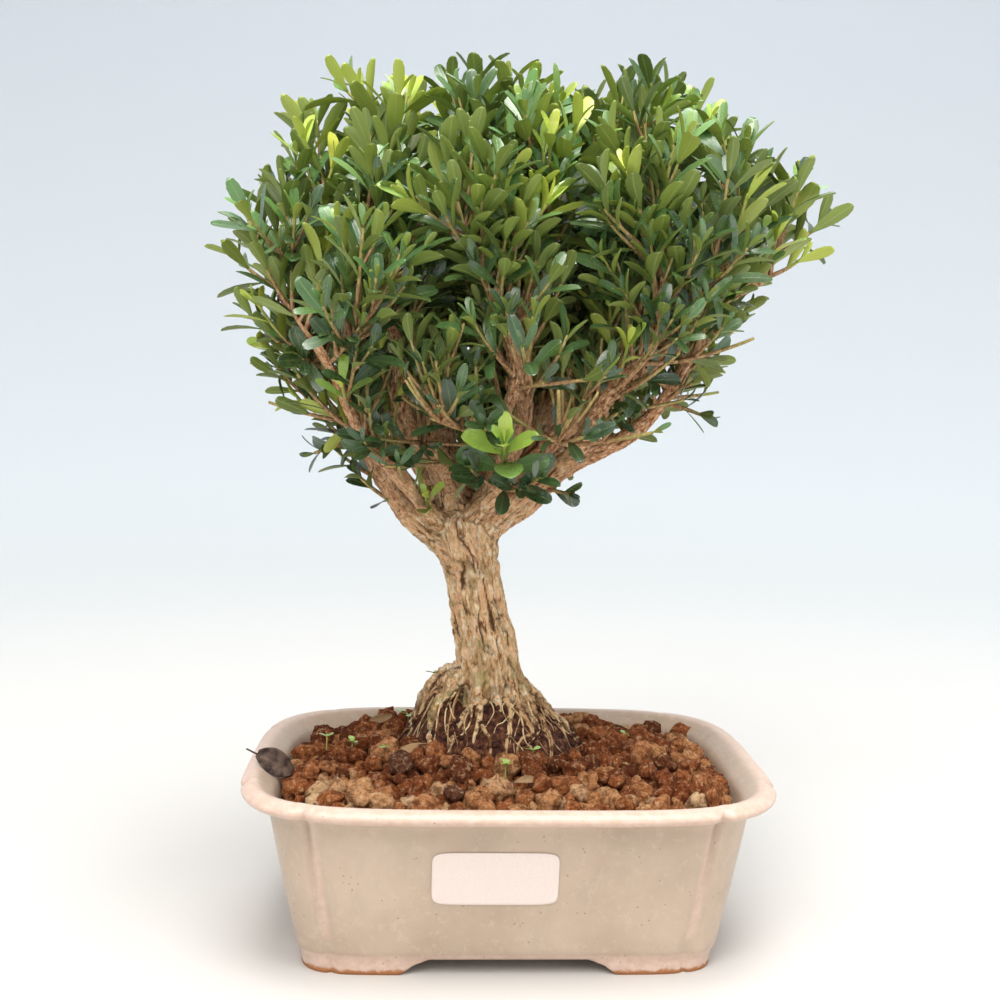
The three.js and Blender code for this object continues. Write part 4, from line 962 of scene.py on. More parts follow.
def crumbs_piece(look):
    """Compost crumbs lying on the mound, thickest towards its edge."""
    rng = np.random.default_rng(SEEDS["crumbs"])
    count = CRUMBS["count"]
    share = 0.45 + 0.66 * rng.random(count) ** 0.7
    angle = rng.uniform(0, 2 * np.pi, count)
    x = MOUND_CENTRE[0] + MOUND_REACH[0] * share * np.cos(angle)
    y = MOUND_CENTRE[1] + MOUND_REACH[1] * share * np.sin(angle)
    radii = rng.uniform(*CRUMBS["radii"], count)
    spots = np.stack([x, y, mound_height(x, y) + 0.3 * radii], -1)
    crumbs = Gathered()
    crumbs.add(stones(spots, radii, SEEDS["crumb_stones"], *TINY_STONE), ring_faces(*TINY_STONE))
    return crumbs.piece("compost_crumbs", look)


# Wood: trunk, surface roots and the feet of the boughs melt into one skin; the boughs run on from it.
def bough_points(bough, u):
    """The curve through a bough's points, swayed by two slow sine waves that fade at its ends."""
    thick, _, path = bough
    crook = BOUGH_CROOK * np.minimum(1, 6 * u * (1 - u))
    sway = np.stack([crook * np.sin(11 * u + thick), crook * np.cos(9 * u + 3 * thick), 0 * u], -1)
    return curve_through(path, u) + sway


def bough_radius(bough, u):
    """Thins along the bough, with slow swellings, and spreads in a collar where it leaves the trunk."""
    thick, thin, _ = bough
    knots = 1 + 0.07 * np.sin(12 * u + 5 * thick) + 0.05 * np.sin(31 * u + thick)
    return lerp(thick, thin, u**0.8) * knots * (1 + 0.22 * np.exp(-((u / 0.1) ** 2)))


def bough_frames():
    """Each bough's stations with their frames, radius, and distance along it carried on from its height."""
    u = np.linspace(0, 1, BOUGH_STATIONS)
    limbs = []
    for bough in BOUGHS:
        at = bough_points(bough, u)
        way, aside, over = frames_along(at)
        step = np.linalg.norm(np.diff(at, axis=0), axis=1)
        run = at[0, 2] + np.concatenate([[0], np.cumsum(step)])
        limb = {"at": at, "way": way, "aside": aside, "over": over, "run": run, "u": u}
        limb["r"] = bough_radius(bough, u)
        limbs.append(limb)
    return limbs


def trunk_centre(z):
    """The curve through the trunk's rows at a height: its x, y and z, and its radius."""
    u = np.interp(z, TRUNK[:, 2], np.linspace(0, 1, len(TRUNK)))
    return curve_through(TRUNK, u)


def trunk_rings():
    """Rings up the trunk with its slow ribs: ten round it and five that drift, deeper where it flares."""
    z = np.arange(TRUNK[0, 2], TRUNK[-1, 2] + 0.1, TRUNK_STEP)
    x, y, _, r = trunk_centre(z).T[..., None]
    angle = 2 * np.pi * np.arange(TRUNK_SIDES)[None] / TRUNK_SIDES
    drift = z[:, None] * 0.012
    flare = 0.1 * np.cos(4 * angle + 0.8) * smooth(95, 84, z[:, None])
    ribs = 0.075 * np.cos(10 * angle) + 0.05 * np.cos(5 * angle + 3 * drift) + flare
    reach = r * (1 + ribs)
    height = np.broadcast_to(z[:, None], reach.shape)
    return np.stack([x + reach * np.cos(angle + drift), y + reach * np.sin(angle + drift), height], -1)


def root_paths():
    """Surface roots: outwards from the trunk's foot, swinging a little, and down the mound."""
    t = np.linspace(0, 1, 26)
    paths = []
    radii = []
    for root in ROOTS:
        out = lerp(8, root["reach"], t)
        turn = math.radians(root["bearing"]) + 0.16 * np.sin(5 * t + root["bearing"])
        x = TRUNK_FOOT[0] + out * np.cos(turn)
        y = TRUNK_FOOT[1] + out * 0.86 * np.sin(turn)
        paths.append(np.stack([x, y, lerp(98, 70, t ** root["droop"])], -1))
        radii.append(lerp(root["thick"], 1.2, t))
    return np.stack(paths), np.stack(radii)


def melted(shapes, cell, rounds):
    """One skin round overlapping shapes, on a grid of small cells, then eased: the points and the faces."""
    made = placed("melting", shapes.mesh("melting"))
    remesh = made.modifiers.new("melt", "REMESH")
    remesh.mode = "VOXEL"
    remesh.voxel_size = cell * MM
    ease = made.modifiers.new("ease", "SMOOTH")
    ease.factor = 0.5
    ease.iterations = rounds
    skin = bpy.data.meshes.new_from_object(made.evaluated_get(bpy.context.evaluated_depsgraph_get()))
    points = np.empty(3 * len(skin.vertices), np.float32)
    skin.vertices.foreach_get("co", points)
    normals = np.empty_like(points)
    skin.vertices.foreach_get("normal", normals)
    corners = np.empty(len(skin.loops), np.int32)
    skin.loops.foreach_get("vertex_index", corners)
    sizes = np.empty(len(skin.polygons), np.int32)
    skin.polygons.foreach_get("loop_total", sizes)
    bpy.data.objects.remove(made)
    starts = np.cumsum(sizes) - sizes
    faces = [corners[starts[sizes == n][:, None] + np.arange(n)] for n in np.unique(sizes)]
    return (points.reshape(-1, 3) - HOME) / MM, normals.reshape(-1, 3), faces


def bark_relief(grain, size, ridges, plate):
    """How far bark stands out and how deep its cracks are. Cracks run along the limb where its angle,
    counted in ridges and swayed by noise, is a whole number; others cross each ridge at steps of its own,
    and thin ones follow the middle of stretched noise. Lumps and flakes are plain noise."""
    angle = np.arctan2(grain[..., 1], grain[..., 0])
    ring = np.stack([np.cos(angle), np.sin(angle)], -1) * ridges / 8
    spot = np.concatenate([ring, grain[..., 2:] / 13], -1)
    sway = 1.1 * (noise(spot, 41) - 0.5) + 0.4 * (noise(spot * (2.2, 2.2, 3.4), 42) - 0.5)
    at = ridges * angle / (2 * np.pi) + sway + 0.5
    apart = np.abs(at - np.round(at))
    width = 0.02 + 0.14 * smooth(0.3, 0.8, noise(grain / (4, 4, 9), 44))
    along = 1 - smooth(0.3 * width, 1.4 * width, apart)
    along = along * smooth(0.3, 0.5, noise(grain / (3, 3, 0.9 * plate), 52))
    ridge_number = np.floor(at) % ridges
    own = drawn_at(np.stack([ridge_number, 0 * ridge_number, 0 * ridge_number], -1), 50)
    step = grain[..., 2] / plate + 3 * own + 0.7 * (at - np.floor(at)) + 1.1 * noise(grain / 4, 45)
    crossing = 1 - smooth(0.03, 0.17, np.abs(step - np.round(step)))
    crossing = crossing * smooth(0.42, 0.62, noise(grain / (6, 6, 8), 46))
    bent = grain + (rough(grain / 3, 48, 2)[..., None] - 0.5) * 2.4
    fine = 1 - smooth(0.03, 0.2, np.abs(2 * noise(bent / (1.8, 1.8, 0.8 * plate), 47) - 1))
    depth = np.clip(along + 0.55 * crossing + 0.5 * fine, 0, 1)
    ridge = smooth(0, 0.5, apart) - 0.5
    lumps = rough(grain / (3.2, 3.2, 12), 49) - 0.5
    flakes = rough(grain / (1.0, 1.0, 0.4 * plate), 51, 2) - 0.5
    height = size * (0.07 * ridge + 0.12 * lumps - 0.07 * depth) + 1.5 * flakes * np.minimum(1, size / 6)
    return height, depth


def nearest_limb(points, limbs):
    """For each point, its nearest bough station: its place in that bough's frame, and how near it is."""
    best = np.full(len(points), 9.0)
    grain = np.zeros((len(points), 3))
    size = np.ones(len(points))
    for limb in limbs:
        within = limb["u"] < 0.34
        at, r = limb["at"][within], limb["r"][within]
        far = np.linalg.norm(points[:, None] - at[None], axis=-1) / r
        near = np.argmin(far, axis=1)
        share = far[np.arange(len(points)), near]
        closer = share < best
        off = points - at[near]
        local = np.concatenate([
            dot(off, limb["aside"][near]), dot(off, limb["over"][near]),
            limb["run"][near][:, None] + dot(off, limb["way"][near]),
        ], axis=1)
        best = np.where(closer, share, best)
        grain = np.where(closer[:, None], local, grain)
        size = np.where(closer, r[near], size)
    return grain, size, best


def trunk_piece(limbs, look):
    """The melted skin of trunk, roots and bough feet, pushed out and in along its normals by the bark."""
    shapes = Gathered()
    rings = trunk_rings()
    shapes.add(rings.reshape(1, -1, 3), ring_faces(*rings.shape[:2]))
    paths, radii = root_paths()
    shapes.add(tubes(paths, radii, ROOT_SIDES), ring_faces(paths.shape[1], ROOT_SIDES))
    feet = int(BOUGH_FOOT_ENDS * BOUGH_STATIONS)
    at = np.stack([limb["at"][:feet] for limb in limbs])
    r = np.stack([limb["r"][:feet] for limb in limbs])
    shapes.add(tubes(at, r, BOUGH_FOOT_SIDES), ring_faces(feet, BOUGH_FOOT_SIDES))
    points, normals, faces = melted(shapes, SKIN_CELL, SKIN_EASING)
    centre = trunk_centre(np.clip(points[:, 2], TRUNK[0, 2], TRUNK[-1, 2]))
    own = np.column_stack([points[:, :2] - centre[:, :2], points[:, 2]])
    own_share = np.linalg.norm(own[:, :2], axis=1) / centre[:, 3] + smooth(158, 176, points[:, 2]) * 3
    grain, size, share = nearest_limb(points, limbs)
    on_bough = smooth(-0.35, 0.35, own_share - share)
    trunk_bark = bark_relief(own, np.minimum(centre[:, 3], 13), **TRUNK_BARK)
    bough_bark = bark_relief(grain, size, **BOUGH_BARK)
    height, depth = (lerp(a, b, on_bough) for a, b in zip(trunk_bark, bough_bark))
    grain = np.where(on_bough[:, None] > 0.5, grain, own)
    points = points + normals * height[:, None]
    trunk = Gathered()
    sets = [(face, np.zeros((*face.shape, 2))) for face in faces]
    upper = 0.8 * on_bough * smooth(150, 190, points[:, 2])
    trunk.add(points[None], sets, grain=grain[None], depth=depth[None], upper=upper[None])
    return trunk.piece("trunk_and_roots", look, ["trunk_and_boughs"])


def boughs_piece(limbs, look):
    """Each bough from a fifth of its length to its end, its rings pushed in and out by the same bark."""
    angle = 2 * np.pi * np.arange(BOUGH_SIDES)[None, :, None] / BOUGH_SIDES
    boughs = Gathered()
    for limb in limbs:
        keep = limb["u"] >= BOUGH_STARTS
        at, aside, over, r = (limb[key][keep] for key in ("at", "aside", "over", "r"))
        u, run = limb["u"][keep], limb["run"][keep]
        spread = np.cos(angle) * r[:, None, None], np.sin(angle) * r[:, None, None]
        length = np.broadcast_to(run[:, None, None], spread[0].shape)
        grain = np.concatenate([*spread, length], axis=-1)
        height, depth = bark_relief(grain, np.broadcast_to(r[:, None], grain.shape[:2]), **BOUGH_BARK)
        taper = lerp(0.86, 1, smooth(BOUGH_STARTS, BOUGH_FOOT_ENDS, u)) * lerp(1, 0.5, smooth(0.97, 1, u))
        reach = (r[:, None] + height)[..., None] * taper[:, None, None]
        out = np.cos(angle) * aside[:, None] + np.sin(angle) * over[:, None]
        rings = at[:, None] + reach * out
        upper = np.broadcast_to((0.45 + 0.55 * smooth(BOUGH_STARTS, 0.6, u))[:, None], grain.shape[:2])
        boughs.add(
            rings.reshape(1, -1, 3), ring_faces(*rings.shape[:2]), grain=grain.reshape(1, -1, 3),
            depth=depth.reshape(1, -1), upper=upper.reshape(1, -1),
        )
    add_spurs(boughs, limbs)
    return boughs.piece("boughs", look)


def add_spurs(boughs, limbs):
    """Short broken spurs: tapering tubes that lean out of a bough and along it, bent at their middle."""
    rng = np.random.default_rng(SEEDS["spurs"])
    count, stations, sides = 8, 4, 6
    t = np.linspace(0, 1, stations)[None, :, None]
    for limb in limbs:
        spot = rng.integers(34, 110, count)
        turn = rng.uniform(0, 2 * np.pi, (count, 1))
        out = np.cos(turn) * limb["aside"][spot] + np.sin(turn) * limb["over"][spot]
        aim = unit(out + 0.8 * limb["way"][spot] + 0.4 * UP)
        reach = limb["r"][spot, None] + rng.uniform(1.5, 6, (count, 1))
        bend = 0.15 * reach[:, None] * np.sin(np.pi * t) * out[:, None]
        paths = limb["at"][spot][:, None] + reach[:, None] * t * aim[:, None] + bend
        radii = rng.uniform(0.7, 1.3, (count, 1)) * lerp(1.2, 0.5, t[..., 0])
        grain = tubes(np.broadcast_to(6 * t * UP, paths.shape), radii, sides)
        boughs.add(
            tubes(paths, radii, sides), ring_faces(stations, sides), grain=grain,
            depth=np.full((count, stations * sides), 0.15), upper=np.ones((count, stations * sides)),
        )


def roots_over_mound(rng, count, stations, thick, reach, arch):
    """Roots that wander out from the trunk's foot over the mound, dipping in and out of it."""
    t = np.linspace(0, 1, stations)[None]
    start = rng.uniform(0, 2 * np.pi, (count, 1))
    wander = rng.normal(0, 0.3, (count, 1)) * t
    wander = wander + 0.1 * np.sin(rng.uniform(2, 8, (count, 1)) * t + start * 9)
    share = lerp(rng.uniform(0.3, 0.62, (count, 1)), rng.uniform(*reach, (count, 1)), t)
    x = MOUND_CENTRE[0] + MOUND_REACH[0] * share * np.cos(start + wander)
    y = MOUND_CENTRE[1] + MOUND_REACH[1] * share * np.sin(start + wander)
    ground = np.maximum(mound_height(x, y), soil_height(x, y))
    hump = rng.uniform(*arch, (count, 1)) * np.sin(np.pi * t) + 0.5 * np.sin(7 * t + start * 5)
    climb = rng.uniform(0, 9, (count, 1)) * (1 - t) ** 3 * smooth(0.7, 0.4, share)
    radii = rng.uniform(*thick, (count, 1)) * lerp(1.3, 0.5, t)
    return np.stack([x, y, ground + hump + climb - 1.6 * smooth(0.85, 1, t)], -1), radii


def fine_roots_piece(look):
    """Feeder roots as thick as string over the mound, and many more as thin as thread."""
    rng = np.random.default_rng(SEEDS["feeders"])
    roots = Gathered()
    for kind in (THICK_FEEDERS, THIN_FEEDERS):
        count, stations, sides = kind["count"], kind["stations"], kind["sides"]
        paths, radii = roots_over_mound(rng, count, stations, kind["thick"], kind["reach"], kind["arch"])
        draw = np.broadcast_to(rng.random((count, 1)), (count, stations * sides))
        roots.add(tubes(paths, radii, sides), ring_faces(stations, sides), draw=draw)
    return roots.piece("feeder_roots", look)


# Crown: where its surface is, and the sprays that the frame has, found again in the same way.
def crown_point(angle, sink, reach):
    """The outline's radius at an angle, eased between its 30-degree steps and narrowed towards the back."""
    turn = (angle / 30) % 12
    at = int(turn)
    ease = (1 - math.cos(math.pi * (turn - at))) / 2
    radius = lerp(CROWN_RADII[at % 12], CROWN_RADII[(at + 1) % 12], ease)
    flat = radius * (1 - sink * sink) ** 0.4
    a = math.radians(angle)
    out = np.array([flat * math.cos(a), CROWN_HALF_DEPTH * sink, flat * math.sin(a)])
    return CROWN_CENTRE + reach * out


def spray_tips(turns, seed, nearest, spread, under):
    """Tips spread over the crown by the golden angle, between two reaches, with fewer underneath it."""
    random = seeded(seed)
    tips = []
    for k in range(turns):
        sink = (1 - (2 * (k + 0.5)) / turns) * 0.97
        angle = k * GOLDEN_ANGLE + (random() - 0.5) * 10
        reach = nearest + spread * random()
        below = -math.sin(math.radians(angle)) * math.sqrt(1 - sink * sink)
        if below > under and not (below < under + 0.3 and k % 2):
            continue
        tips.append(crown_point(angle, sink, reach))
    return tips


def shoot_curve(foot, end):
    """A quadratic curve that leaves its foot outwards and turns up. Gives its point and its way at a share
    of the curve, and how far its end is from its foot."""
    run = end - foot
    bend = foot + run * (0.6, 0.6, 0.42)

    def at(t):
        t = np.asarray(t, float)[..., None]
        return (1 - t) ** 2 * foot + 2 * t * (1 - t) * bend + t * t * end

    def along(t):
        t = np.asarray(t, float)[..., None]
        return unit((1 - t) * (bend - foot) + t * (end - bend))

    return at, along, float(np.linalg.norm(run))


class Room:
    """Balls that stand for wood that is placed, so that shoots keep clear of it."""

    def __init__(self):
        self.at = np.empty((0, 3))
        self.r = np.empty(0)
        self.owner = np.empty(0, int)

    def take(self, at, r, owner):
        """Adds balls of one owner."""
        self.at = np.concatenate([self.at, at])
        self.r = np.concatenate([self.r, np.broadcast_to(r, len(at))])
        self.owner = np.concatenate([self.owner, np.full(len(at), owner)])

    def gaps(self, at, r):
        """Distance between the skins of each new ball and each ball that is there."""
        far = np.linalg.norm(at[:, None] - self.at[None], axis=-1)
        return far - self.r[None] - r


def stem_balls(stops, start_gap):
    """Nine balls between each two stops of a stem, past its first stretch."""
    k = np.arange(9)[:, None] / 8
    at = np.concatenate([lerp(a, b, k) for a, b in zip(stops[:-1], stops[1:])])
    return at[np.linalg.norm(at - stops[0], axis=1) > start_gap]


def main_shoots(room):
    """The frame's main shoots: each tip takes the cheapest foot on a bough that is clear of the rest."""
    u = np.arange(8, 25) / 24
    feet = np.concatenate([bough_points(bough, u) for bough in BOUGHS])
    boughs = np.repeat(np.arange(len(BOUGHS)), len(u))
    shoots = []
    for tip in spray_tips(*SPRAY_TIPS):
        away = np.linalg.norm(feet - tip, axis=1)
        above = np.maximum(0, feet[:, 2] - tip[2] + 0.35 * away)
        used = np.array([shoot["foot"] for shoot in shoots]).reshape(-1, 3)
        beside = np.maximum(0, 9 - np.linalg.norm(feet[:, None] - used[None], axis=-1)).sum(axis=1)
        cost = away + 0.9 * above + 0.25 * np.maximum(0, 34 - away) + 5 * beside
        for choice in np.argsort(cost, kind="stable")[:60]:
            foot = feet[choice]
            end = tip + unit(foot - tip) * SPRAY_LEAF * 0.95
            at, along, length = shoot_curve(foot, end)
            node = TWIG["node"] / length
            shares = np.array([0, 0.26, 0.5, 0.5 + node, 0.76, 0.76 + node, 1])
            balls = stem_balls(at(shares), 0.6)
            gaps = room.gaps(balls, STEM_ROOM)
            own = (room.owner[None] == boughs[choice]) & (
                np.linalg.norm(balls - foot, axis=1)[:, None] < 2.2 * room.r[None])
            if np.all(own | (gaps > CLEARANCE["main"])) and SHORTEST_SHOOT <= length <= LONGEST_SHOOT:
                index = len(shoots)
                room.take(balls, STEM_ROOM, 100 + index)
                shoots.append({"at": at, "along": along, "foot": foot, "shares": shares, "index": index})
                break
    return shoots


def square_on(way, near):
    """Two directions square to the way: near without its share along the way, and their cross product."""
    u = unit(near - way * np.sum(near * way))
    return u, np.cross(way, u)


def side_shoots(shoots, room):
    """The frame's two side shoots on each main shoot, as long as there is room for."""
    made = []
    for shoot in shoots:
        random = seeded(100 + shoot["index"])
        turn = random() * 2 * math.pi
        near = np.array([math.cos(turn), math.sin(turn), 0.01])
        squares = []
        for share in shoot["shares"]:
            u, v = square_on(shoot["along"](share), near)
            squares.append((shoot["at"](share), shoot["along"](share), u, v))
            near = u
        low, high = squares[2], squares[3]
        foot = (low[0] + high[0]) / 2
        for out in (low[2], -low[2]):
            for length in (26, 21, 16):
                way = unit(0.8 * low[1] + 0.75 * out + 0.25 * UP)
                length = length * (0.9 + 0.2 * random())
                ends = np.stack([low[0], foot + way * (length - TWIG["node"]), foot + way * length])
                balls = stem_balls(ends, 4.5)
                gaps = room.gaps(balls, STEM_ROOM)
                own = room.owner == 100 + shoot["index"]
                if np.all(own[None] | (gaps > CLEARANCE["side"])):
                    room.take(balls, STEM_ROOM, 100 + shoot["index"])
                    made.append({"foot": foot, "end": foot + way * length})
                    break
    return made


# Shoots that the frame leaves out: the tips of those against the sky as x, y and z, and the low sprigs.
TOP_SPRIGS = [
    (-15, 0, 340), (-66, -8, 329), (-78, 4, 321), (-53, 10, 327), (-29, -14, 333), (-4, 4, 338),
    (11, -16, 323), (27, 14, 325), (39, -4, 332), (52, 16, 328), (64, -8, 331), (79, 4, 326),
    (88, -18, 303), (101, 4, 300), (111, -8, 301), (125, -6, 284), (116, -10, 268), (-84, -14, 290),
    (-98, 2, 294), (-107, -6, 285), (-116, 0, 267), (-109, -6, 244), (-100, 4, 226), (-92, -10, 211),
    (-77, 0, 192), (84, -6, 228),
]
LOW_SPRIGS = [
    {"foot": (-6, -28, 181), "end": (-6, -58, 193), "fresh": 1.5, "large": 1.05},
    {"foot": (-27, -5, 158), "end": (-33, -15, 170), "fresh": 1.3, "large": 0.86},
    {"foot": (-41, 2, 165), "end": (-60, -4, 178), "fresh": 0},
    {"foot": (12, 4, 173), "end": (22, -8, 172), "fresh": 0},
    {"foot": (60, -2, 207), "end": (74, -8, 203), "fresh": 0},
    {"foot": (-56, 0, 192), "end": (-76, -8, 186), "fresh": 0},
    {"foot": (-6, -20, 174), "end": (-17, -44, 183), "fresh": 0, "large": 0.78},
    {"foot": (-5, -20, 172), "end": (7, -44, 180), "fresh": 0.1, "large": 0.78},
    {"foot": (-5, -20, 172), "end": (1, -42, 176), "fresh": 0, "large": 0.7},
    {"foot": (-13, 20, 172), "end": (-20, 34, 192), "fresh": 0},
    {"foot": (-8, 24, 174), "end": (-6, 36, 196), "fresh": 0},
    {"foot": (-27, 18, 196), "end": (-16, 30, 204), "fresh": 0},
    {"foot": (-30, 22, 176), "end": (-44, 30, 186), "fresh": 0},
]

# Seen from the front: the crown's lower outline as x and z, and the stretches of bough that few leaves hide.
CROWN_UNDERSIDE = (
    [-120, -100, -94, -80, -74, -60, -50, -30, 10, 20, 35, 50, 70, 84, 90, 108, 126],
    [240, 216, 204, 182, 168, 168, 168, 164, 164, 170, 182, 190, 200, 222, 240, 250, 268],
)
SHOWN_BOUGHS = {
    0: (0.05, 0.42), 1: (0.15, 0.56), 2: (0.1, 0.36), 3: (0.18, 0.56), 4: (0.2, 0.46), 5: (0.22, 0.68),
    6: (0.05, 0.92),
}
SHOWN_MARGIN = 2.0

SHOOT_STATIONS = 9
STEM_SIDES = 4

# Shoots by kind: thickness at foot and tip, the share of the foot that is bare, how broad and how large the
# leaves are, and the share of them that is kept where they would hide a bough.
SHOOT_KINDS = {
    "low": {"thick": (1.0, 0.6), "bare": 0.15, "broad": 1.3, "large": 1.0, "kept": 1.0},
    "main": {"thick": (1.0, 0.6), "bare": 0.14, "broad": 0.94, "large": 1.0, "kept": 0.5},
    "side": {"thick": (0.85, 0.55), "bare": 0.1, "broad": 0.94, "large": 1.0, "kept": 0.3},
    "fill": {"thick": (0.95, 0.55), "bare": 0.22, "broad": 0.94, "large": 1.0, "kept": 0.1},
    "twig": {"thick": (0.7, 0.5), "bare": 0.12, "broad": 0.98, "large": 0.94, "kept": 0.1},
}


# Tips of the filling shoots: turns of the golden angle, seed, nearest reach, its spread, and limit below.
OUTER_TIPS = (430, 5, 0.76, 0.22, 0.6)
MIDDLE_TIPS = (260, 9, 0.48, 0.28, 0.75)
INNER_TIPS = (210, 17, 0.15, 0.33, 0.85)
FACE_TIPS = {"count": 84, "reach": 0.72, "seed": 21, "lowest": 186}


def face_tips(count, reach, seed, lowest):
    """Tips over the crown's flat front and back by the golden angle, above a height, on its surface."""
    random = seeded(seed)
    tips = []
    for side in (-1, 1):
        for k in range(count):
            out = 74 * math.sqrt((k + 0.5) / count)
            angle = math.radians(k * GOLDEN_ANGLE + 40 * side)
            bulge = math.sqrt(1 - (out / 108) ** 2.5)
            tip = CROWN_CENTRE + (
                out * math.cos(angle), side * CROWN_HALF_DEPTH * bulge * (reach + 0.22 * random()),
                out * math.sin(angle),
            )
            if tip[2] > lowest:
                tips.append(tip)
    return tips


def on_face(points):
    """Where points stand, seen from the camera, on the upright plane through the pot's middle: x and z."""
    share = -EYE[1] / (points[..., 1:2] - EYE[1])
    return (EYE + (points - EYE) * share)[..., [0, 2]]


def under_crown(points):
    """Which points lie below the crown's lower outline, seen from the front."""
    x, z = on_face(points).T
    return z < np.interp(x, *CROWN_UNDERSIDE)


def before_boughs(points, limbs):
    """Which points stand in front of the stretches of bough that show, within a few millimetres of them."""
    seen = on_face(points)
    before = np.zeros(len(points), bool)
    for index, (low, high) in SHOWN_BOUGHS.items():
        within = (limbs[index]["u"] > low) & (limbs[index]["u"] < high)
        at, r = limbs[index]["at"][within][::3], limbs[index]["r"][within][::3]
        beside = np.linalg.norm(seen[:, None] - on_face(at), axis=-1) < r + SHOWN_MARGIN
        before |= np.any(beside & (points[:, None, 1] < at[:, 1] + 4), axis=1)
    return before


def thinned(tips):
    """Every other tip is left out where the crown is open low in front."""
    x, y, z = tips.T
    open_front = (y < 14) & (z < 228) & (x > -38) & (x < 88)
    return tips[~(open_front & (np.arange(len(tips)) % 2 > 0))]


def filling_shoots(mains, limbs):
    """More shoots for the crown's fullness, springing from the nearest wood or shoot below the tip."""
    rng = np.random.default_rng(SEEDS["filling"])
    u = np.linspace(0.3, 1, 40)
    wood = np.concatenate([bough_points(bough, u) for bough in BOUGHS])
    stems = np.concatenate([shoot["at"](np.linspace(0.15, 0.8, 8)) for shoot in mains])
    feet = np.concatenate([wood, stems])
    tips = spray_tips(*OUTER_TIPS) + spray_tips(*MIDDLE_TIPS)
    tips += face_tips(**FACE_TIPS) + spray_tips(*INNER_TIPS)
    tips = thinned(np.array(tips))
    tips = tips[~under_crown(tips) & ~before_boughs(tips, limbs)]
    made = []
    for tip in [*tips, *np.array(TOP_SPRIGS, float)]:
        away = np.linalg.norm(feet - tip, axis=1)
        level = np.linalg.norm((feet - tip)[:, :2], axis=1)
        above = np.maximum(0, feet[:, 2] - tip[2] + 0.55 * away)
        near = np.maximum(0, 42 - away)
        cost = away + 1.2 * above + 1.2 * near + 0.4 * level + rng.uniform(0, 8, len(feet))
        foot = feet[np.argmin(cost)]
        end = tip + unit(foot - tip) * 11
        if 12 < np.linalg.norm(end - foot) < 90:
            made.append({"foot": foot, "end": end})
    return made


def paths_of(shoots):
    """Each shoot's curve at even stations."""
    t = np.linspace(0, 1, SHOOT_STATIONS)
    return np.stack([shoot_curve(shoot["foot"], shoot["end"])[0](t) for shoot in shoots])


def twigs_on(paths, rng, shares, lengths):
    """Side twigs in opposite pairs at shares of each path, each pair turned a quarter from the last."""
    way, u, v = frames_along(paths)
    length = np.linalg.norm(np.diff(paths, axis=1), axis=-1).sum(axis=1)
    made = []
    for k, share in enumerate(shares):
        at = share * (SHOOT_STATIONS - 1)
        i = int(at)
        foot = lerp(paths[:, i], paths[:, i + 1], at - i)
        turn = rng.uniform(0, 0.7, len(paths)) + k * np.pi / 2
        for side in (1, -1):
            out = side * (np.cos(turn)[:, None] * u[:, i] + np.sin(turn)[:, None] * v[:, i])
            aim = unit(0.8 * way[:, i] + 0.58 * out + 0.42 * UP)
            reach = rng.uniform(*lengths, len(paths))
            for n in range(len(paths)):
                if reach[n] < 0.55 * length[n] and rng.random() < 0.86:
                    made.append({"foot": foot[n], "end": foot[n] + aim[n] * reach[n]})
    return made


# Leaves: opposite pairs along every shoot, each pair turned a quarter from the last.
LEAF_STATIONS = np.array([0, 0.14, 0.36, 0.6, 0.82, 0.95, 1.0])
LEAF_WIDTHS = np.array([0.13, 0.3, 0.7, 0.98, 0.95, 0.64, 0.24])
LEAF_SIDES = 4
BROAD_STATIONS = np.linspace(0, 1, 16)
BROAD_WIDTHS = 0.12 + 0.88 * np.sin(np.pi * (0.04 + 0.93 * BROAD_STATIONS)) ** 0.7
BROAD_SIDES = 12

# Leaf pairs from a shoot's end back: the gap before each, its leaves' size, and their lean off the stem.
PAIR_GAPS = np.array([0.3, 2.8, 5.4, 8.6, 9.6, 10.0, 10.0, 10.0, 9.6, 9.2])
PAIR_SIZES = np.array([0.5, 0.82, 1.02, 1.08, 1.04, 0.98, 0.94, 0.9, 0.86, 0.84])
PAIR_LEANS = np.radians([14, 27, 38, 46, 51, 54, 57, 59, 61, 62])
LEAF_SPOTS = np.array([0.3, 0.5, 0.72, 0.94])
WOOD_GAP = 0.6
LEAF_GAP = 1.4
LEAF_BATCH = 400


def leaf_points(leaves, stations=LEAF_STATIONS, widths=LEAF_WIDTHS, sides=LEAF_SIDES):
    """Each leaf widens from its stalk to its blunt tip by the widths at its stations, bends back with the
    square of the way along it, and curls up on either side of its midrib with the square of the way across.
    Every station is a flat ring, so the two skins meet at the edges."""
    angle = 2 * np.pi * np.arange(sides) / sides
    u = stations[None, :, None]
    v = np.cos(angle)[None, None, :]
    size = leaves["size"][:, None, None]
    half = 0.5 * LEAF["width"] * size * leaves["wide"][:, None, None] * widths[None, :, None]
    along = LEAF["length"] * size * u
    across = half * v
    lift = leaves["cup"][:, None, None] * half * v**2 - leaves["arch"][:, None, None] * along * u
    lift = lift + 0.5 * LEAF["thickness"] * np.sin(angle) * np.where(u < 1, 1, 0.6)
    side = leaves["twist"][:, None, None] * u
    across, lift = across * np.cos(side) - lift * np.sin(side), across * np.sin(side) + lift * np.cos(side)
    axes = (leaves[key][:, None, None, :] for key in ("way", "across", "face"))
    spots = sum(part[..., None] * axis for part, axis in zip((along, across, lift), axes))
    return (leaves["foot"][:, None, None, :] + spots).reshape(len(spots), -1, 3)


